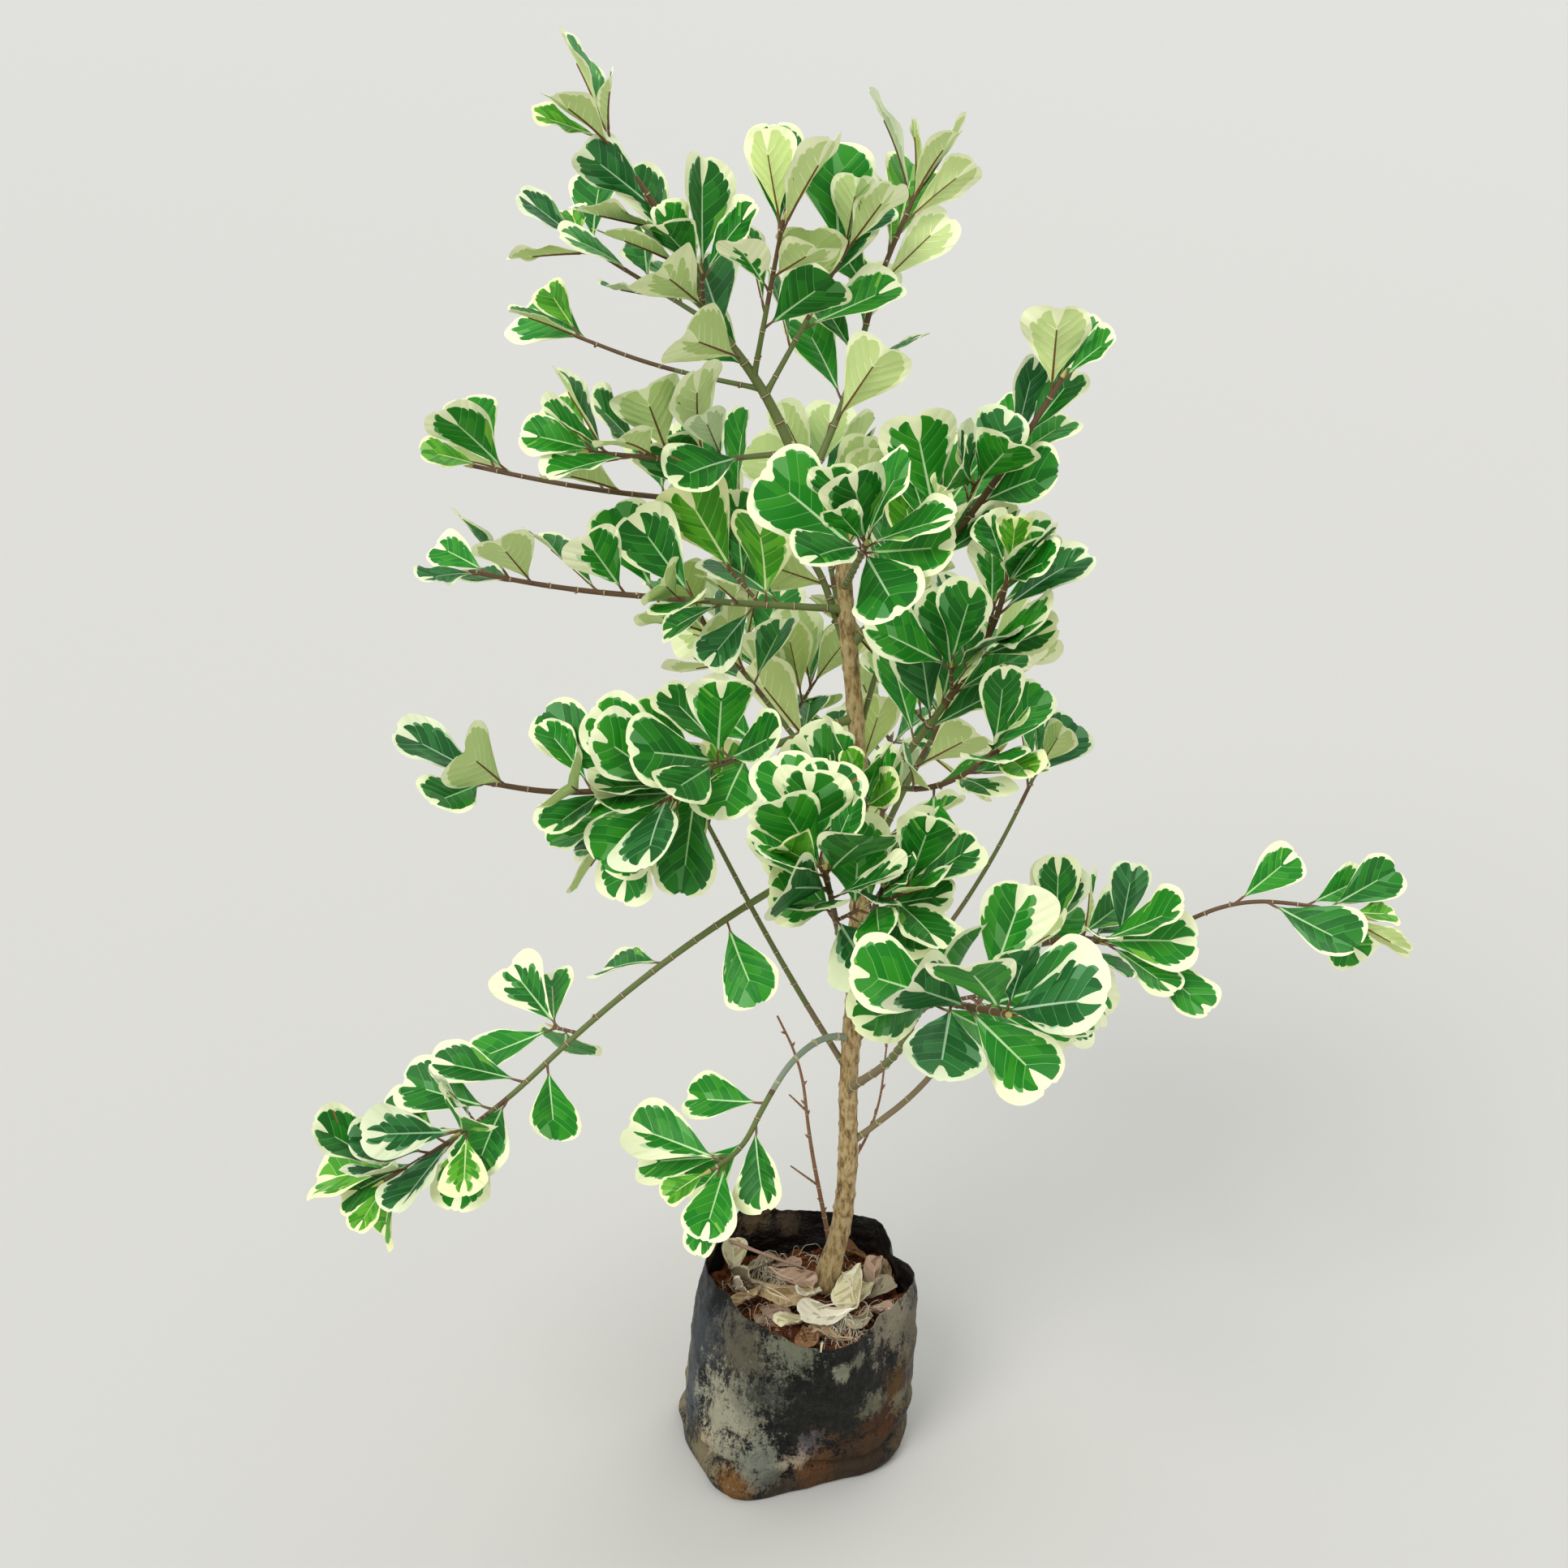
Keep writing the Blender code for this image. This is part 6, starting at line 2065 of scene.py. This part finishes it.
@dataclass(frozen=True)
class Litter:
    """What lies on the soil: dead leaves, rootlets, a twig and a straw.

    Args:
        soil: The soil that it lies on.
        count: How many fibres there are.
        spread: How far out the fibres begin.
        stride: How far a fibre goes between two of its points.
        room: How far inside the film a fibre begins.
        rng: What they are drawn from.
    """

    soil: Topsoil
    count: int = 660
    spread: float = 0.062
    stride: float = 0.0025
    room: float = 0.002
    rng: random.Random = field(default_factory=lambda: random.Random(31))

    # Rootlet and coir: dry fibre with no shine. Twig and straw: a low dry shine
    FIBRES = (Finish("rootlet, dry and pale", "D8CDB4", 0.9, grain=0.5, relief=0.05),
              Finish("coir fibre, red-brown", "7A4526", 0.9, grain=0.5, relief=0.05),
              Finish("fallen twig, pinkish brown", "AC8A76", 0.82, grain=0.7, relief=0.2),
              Finish("straw, pale", "CFC49A", 0.7, grain=0.7, relief=0.1))
    # The fallen twig, the straw over the rim and three long rootlets: start, end, radius, finish and sag
    LAID = (((-0.050, 0.052, 0.141), (0.010, 0.028, 0.131), 0.0015, 2, 0.001),
            ((0.021, -0.060, 0.126), (0.0195, -0.079, 0.1315), 0.0010, 3, -0.002),
            ((0.036, 0.022, 0.132), (0.046, -0.012, 0.127), 0.0009, 0, -0.007),
            ((0.046, -0.012, 0.127), (0.010, -0.022, 0.126), 0.0007, 0, -0.003),
            ((-0.030, 0.020, 0.124), (0.006, -0.020, 0.126), 0.0005, 0, -0.004))

    def leaves(self) -> None:
        """The dead leaves as one piece."""
        work = bmesh.new()
        numbers: dict[bpy.types.Material, int] = {}
        for leaf in LITTER:
            mesh = leaf.mesh(self.soil.bag)
            shown = [numbers.setdefault(mesh.materials[face.material_index], len(numbers)) for face in mesh.polygons]
            mesh.polygons.foreach_set("material_index", shown)
            work.from_mesh(mesh)
            bpy.data.meshes.remove(mesh)
        joined = bpy.data.meshes.new("leaf_litter")
        work.to_mesh(joined)
        work.free()
        for material in numbers:
            joined.materials.append(material)
        piece("leaf_litter", "soil", joined)

    def wander(self, x: float, y: float, bearing: float, length: float, wide: float, kind: int) -> Strand:
        """A fibre that wanders over the soil.

        Args:
            x: Where it begins.
            y: Where it begins.
            bearing: Where it sets off to, in degrees.
            length: How long it is.
            wide: Its radius.
            kind: Its finish's number.

        Returns:
            The fibre.
        """
        points = []
        count = max(4, int(length / self.stride))
        lift = self.rng.uniform(0.0, 0.004 if kind else 0.009)
        for i in range(count):
            arch = math.sin(math.pi * i / (count - 1))
            point = Vector((x, y, self.soil.height(x, y) + wide + lift * arch))
            points.append(self.soil.bag.within(point, self.room + i * 0.00002))
            bearing += self.rng.uniform(-28, 28)
            x += self.stride * math.cos(math.radians(bearing))
            y += self.stride * math.sin(math.radians(bearing))
        return Strand(points, [wide] * count, [kind] * count)

    def fibres(self) -> None:
        """Rootlets and coir on the soil, the fallen twig, and the straw over the rim."""
        strands = []
        for i in range(self.count):
            angle, out = self.rng.uniform(0, 2 * math.pi), self.spread * math.sqrt(self.rng.random())
            x, y = 0.008 + out * math.cos(angle), 0.006 + out * math.sin(angle)
            # Some of them lie in two tufts
            if i % 6 == 0:
                x, y = -0.022 + out * 0.25 * math.cos(angle), 0.033 + out * 0.2 * math.sin(angle)
            elif i % 6 == 1:
                x, y = 0.034 + out * 0.3 * math.cos(angle), -0.030 + out * 0.2 * math.sin(angle)
            strands.append(self.wander(x, y, self.rng.uniform(0, 360), self.rng.uniform(0.008, 0.026),
                                       self.rng.uniform(0.00017, 0.00034), 0 if i % 6 < 3 or i % 9 == 2 else 1))
        for start, end, radius, kind, sag in self.LAID:
            first, last = Vector(start), Vector(end)
            points = [first.lerp(last, i / 12) - UP * sag * math.sin(math.pi * i / 12) for i in range(13)]
            radii = [radius * (1 - 0.5 * (i / 12) ** 2) * (1.15 if i in (3, 7) else 1.0) for i in range(13)]
            strands.append(Strand(points, radii, [kind] * 13))
        Stems("soil_fibres", "soil", 5, 0.12, palette=self.FIBRES).build(strands)


@dataclass(frozen=True)
class Studio:
    """Plain pale floor, soft light and the photograph's view.

    Args:
        half: Half the floor's width.
        sky: How strong the light from all round is.
        view: Where the camera stands.
        down: How far it looks down, in degrees.
        angle: Half its angle of view, in degrees.
    """

    half: float = 90.0
    sky: float = 1.05
    view: tuple[float, float, float] = (-0.007, -1.382, 1.06)
    down: float = 20.7
    angle: float = 20.0

    # Each lamp's name, place, spread in degrees and power
    LAMPS = (("key", (-1.6, -2.4, 3.0), 30.0, 1.6), ("back", (1.4, 2.2, 2.6), 40.0, 0.6))

    def floor(self) -> None:
        """A wide pale floor under the bag."""
        corners = [(x * self.half, y * self.half, 0) for x, y in ((-1, -1), (1, -1), (1, 1), (-1, 1))]
        paint = Finish("studio floor, matt paint", "C4C1BA", 0.9, grain=3.0, relief=0.05)
        mesh = shaped("studio_floor", corners, [(0, 1, 2, 3)], finishes=(paint,))
        floor = bpy.data.objects.new("studio_floor", mesh)
        bpy.context.scene.collection.objects.link(floor)

    def light(self) -> None:
        """A pale sky all round and two broad soft lamps, with colours shown as they are."""
        bpy.context.scene.view_settings.view_transform = "Standard"
        world = bpy.data.worlds.new("studio")
        world.use_nodes = True
        node(world.node_tree, world.node_tree.nodes["Background"], {"Color": linear("E9EDF2"), "Strength": self.sky})
        bpy.context.scene.world = world
        for name, place, spread, power in self.LAMPS:
            lamp = bpy.data.lights.new(name, "SUN")
            lamp.angle = math.radians(spread)
            lamp.energy = power
            obj = bpy.data.objects.new(name, lamp)
            obj.location = place
            obj.rotation_euler = (Vector((0.0, 0.0, 0.5)) - obj.location).to_track_quat("-Z", "Y").to_euler()
            bpy.context.scene.collection.objects.link(obj)

    def camera(self) -> None:
        """The camera, level with the crown's middle and looking down on the bag."""
        lens = bpy.data.cameras.new("view")
        lens.sensor_width = 36.0
        lens.lens = lens.sensor_width / 2 / math.tan(math.radians(self.angle))
        camera = bpy.data.objects.new("view", lens)
        camera.location = self.view
        camera.rotation_euler = (math.radians(90 - self.down), 0.0, 0.0)
        bpy.context.scene.collection.objects.link(camera)
        bpy.context.scene.camera = camera


# Leaves of the crown's top that stand this upright keep their undersides outwards, as they grew
UPRIGHT = 0.75
CROWN_TOP = 0.76
# Below this height more blades wear the cast of painted shade, so the low crown is painted darker where shade falls
SHADE = 0.45
# How far the newest leaves of a limb are grown, the one at its tip first
NEWEST = (0.68, 0.84)


def lit(leaf: Leaf, rng: random.Random) -> Leaf:
    """The leaf rolled on its stalk with its upper face to the light, its blade drawn out over the stalk's end.

    Args:
        leaf: The leaf.
        rng: What the amount of its turn is drawn from.

    Returns:
        The leaf as it shows.
    """
    away = Vector((leaf.foot.x - TRUNK_FOOT[0], leaf.foot.y - TRUNK_FOOT[1], 0.0)).normalized()
    facing = leaf.foot.y < TRUNK_FOOT[1] + 0.03
    light = UP * 0.7 + away * 0.5 - Vector((0.0, 0.6, 0.0)) if facing else UP * 0.6 + away * 0.8
    blade = replace(leaf, length=leaf.length * 0.97 + PETIOLE - STALK, width=leaf.width * 0.96)
    rolled = rng.uniform(0.1, 0.55)
    if leaf.direction.z > UPRIGHT and leaf.foot.z > CROWN_TOP:
        return blade
    if leaf.normal.dot(light) < 0:
        blade = replace(blade, normal=-leaf.normal, cup=-leaf.cup, bend=-leaf.bend)
    best = light - leaf.direction * light.dot(leaf.direction)
    turned = blade.normal.lerp(best.normalized(), rolled * min(1.0, 1.5 * best.length))
    return replace(blade, normal=(turned - leaf.direction * turned.dot(leaf.direction)).normalized())


def bloomed(growth: Growth) -> list[Bloomed]:
    """Deals a cast, a pattern and a waving edge to every leaf.

    Args:
        growth: The grown crown.

    Returns:
        The blades to be placed.
    """
    rng = random.Random(5)
    found = []
    for mass in growth.masses:
        for left, leaf in zip(range(len(mass.leaves) - 1, -1, -1), mass.leaves):
            leaf = lit(leaf, rng)
            share = NEWEST[left] if left < len(NEWEST) else 1.0
            leaf = replace(leaf, length=leaf.length * share, width=leaf.width * share)
            # In the order of Tint: deep, bright, painted shade and young; more painted shade below SHADE
            weights = (1, 1, 1, 2) if left == 0 else (4, 4, 2.5, 0.3) if leaf.foot.z < SHADE else (4, 5, 1.2, 0.6)
            tint = rng.choices(tuple(Tint), weights)[0]
            kind = rng.choices(range(len(PATTERNS)), DEALT)[0]
            found.append(Bloomed(leaf, tint, kind, rng.uniform(0.0008, 0.0035), rng.uniform(0, 6.28)))
    return found


def main() -> None:
    """Dresses the fig from its bag upwards."""
    logging.basicConfig(level=logging.INFO, format="%(name)s: %(message)s")
    studio = Studio()
    studio.camera()
    studio.floor()
    studio.light()
    bag = GrowBag()
    bag.build()
    soil = Topsoil(bag)
    soil.crumbs(soil.surface())
    litter = Litter(soil)
    litter.leaves()
    litter.fibres()
    growth = Growth()
    framework = Framework(growth)
    framework.trunk()
    framework.boughs()
    framework.twigs()
    framework.dead_wood()
    crown = bloomed(growth)
    LOG.info("%d leaves", len(crown))
    framework.stalks([item.leaf for item in crown])
    Foliage(crown).build()


if __name__ == "__main__":
    main()
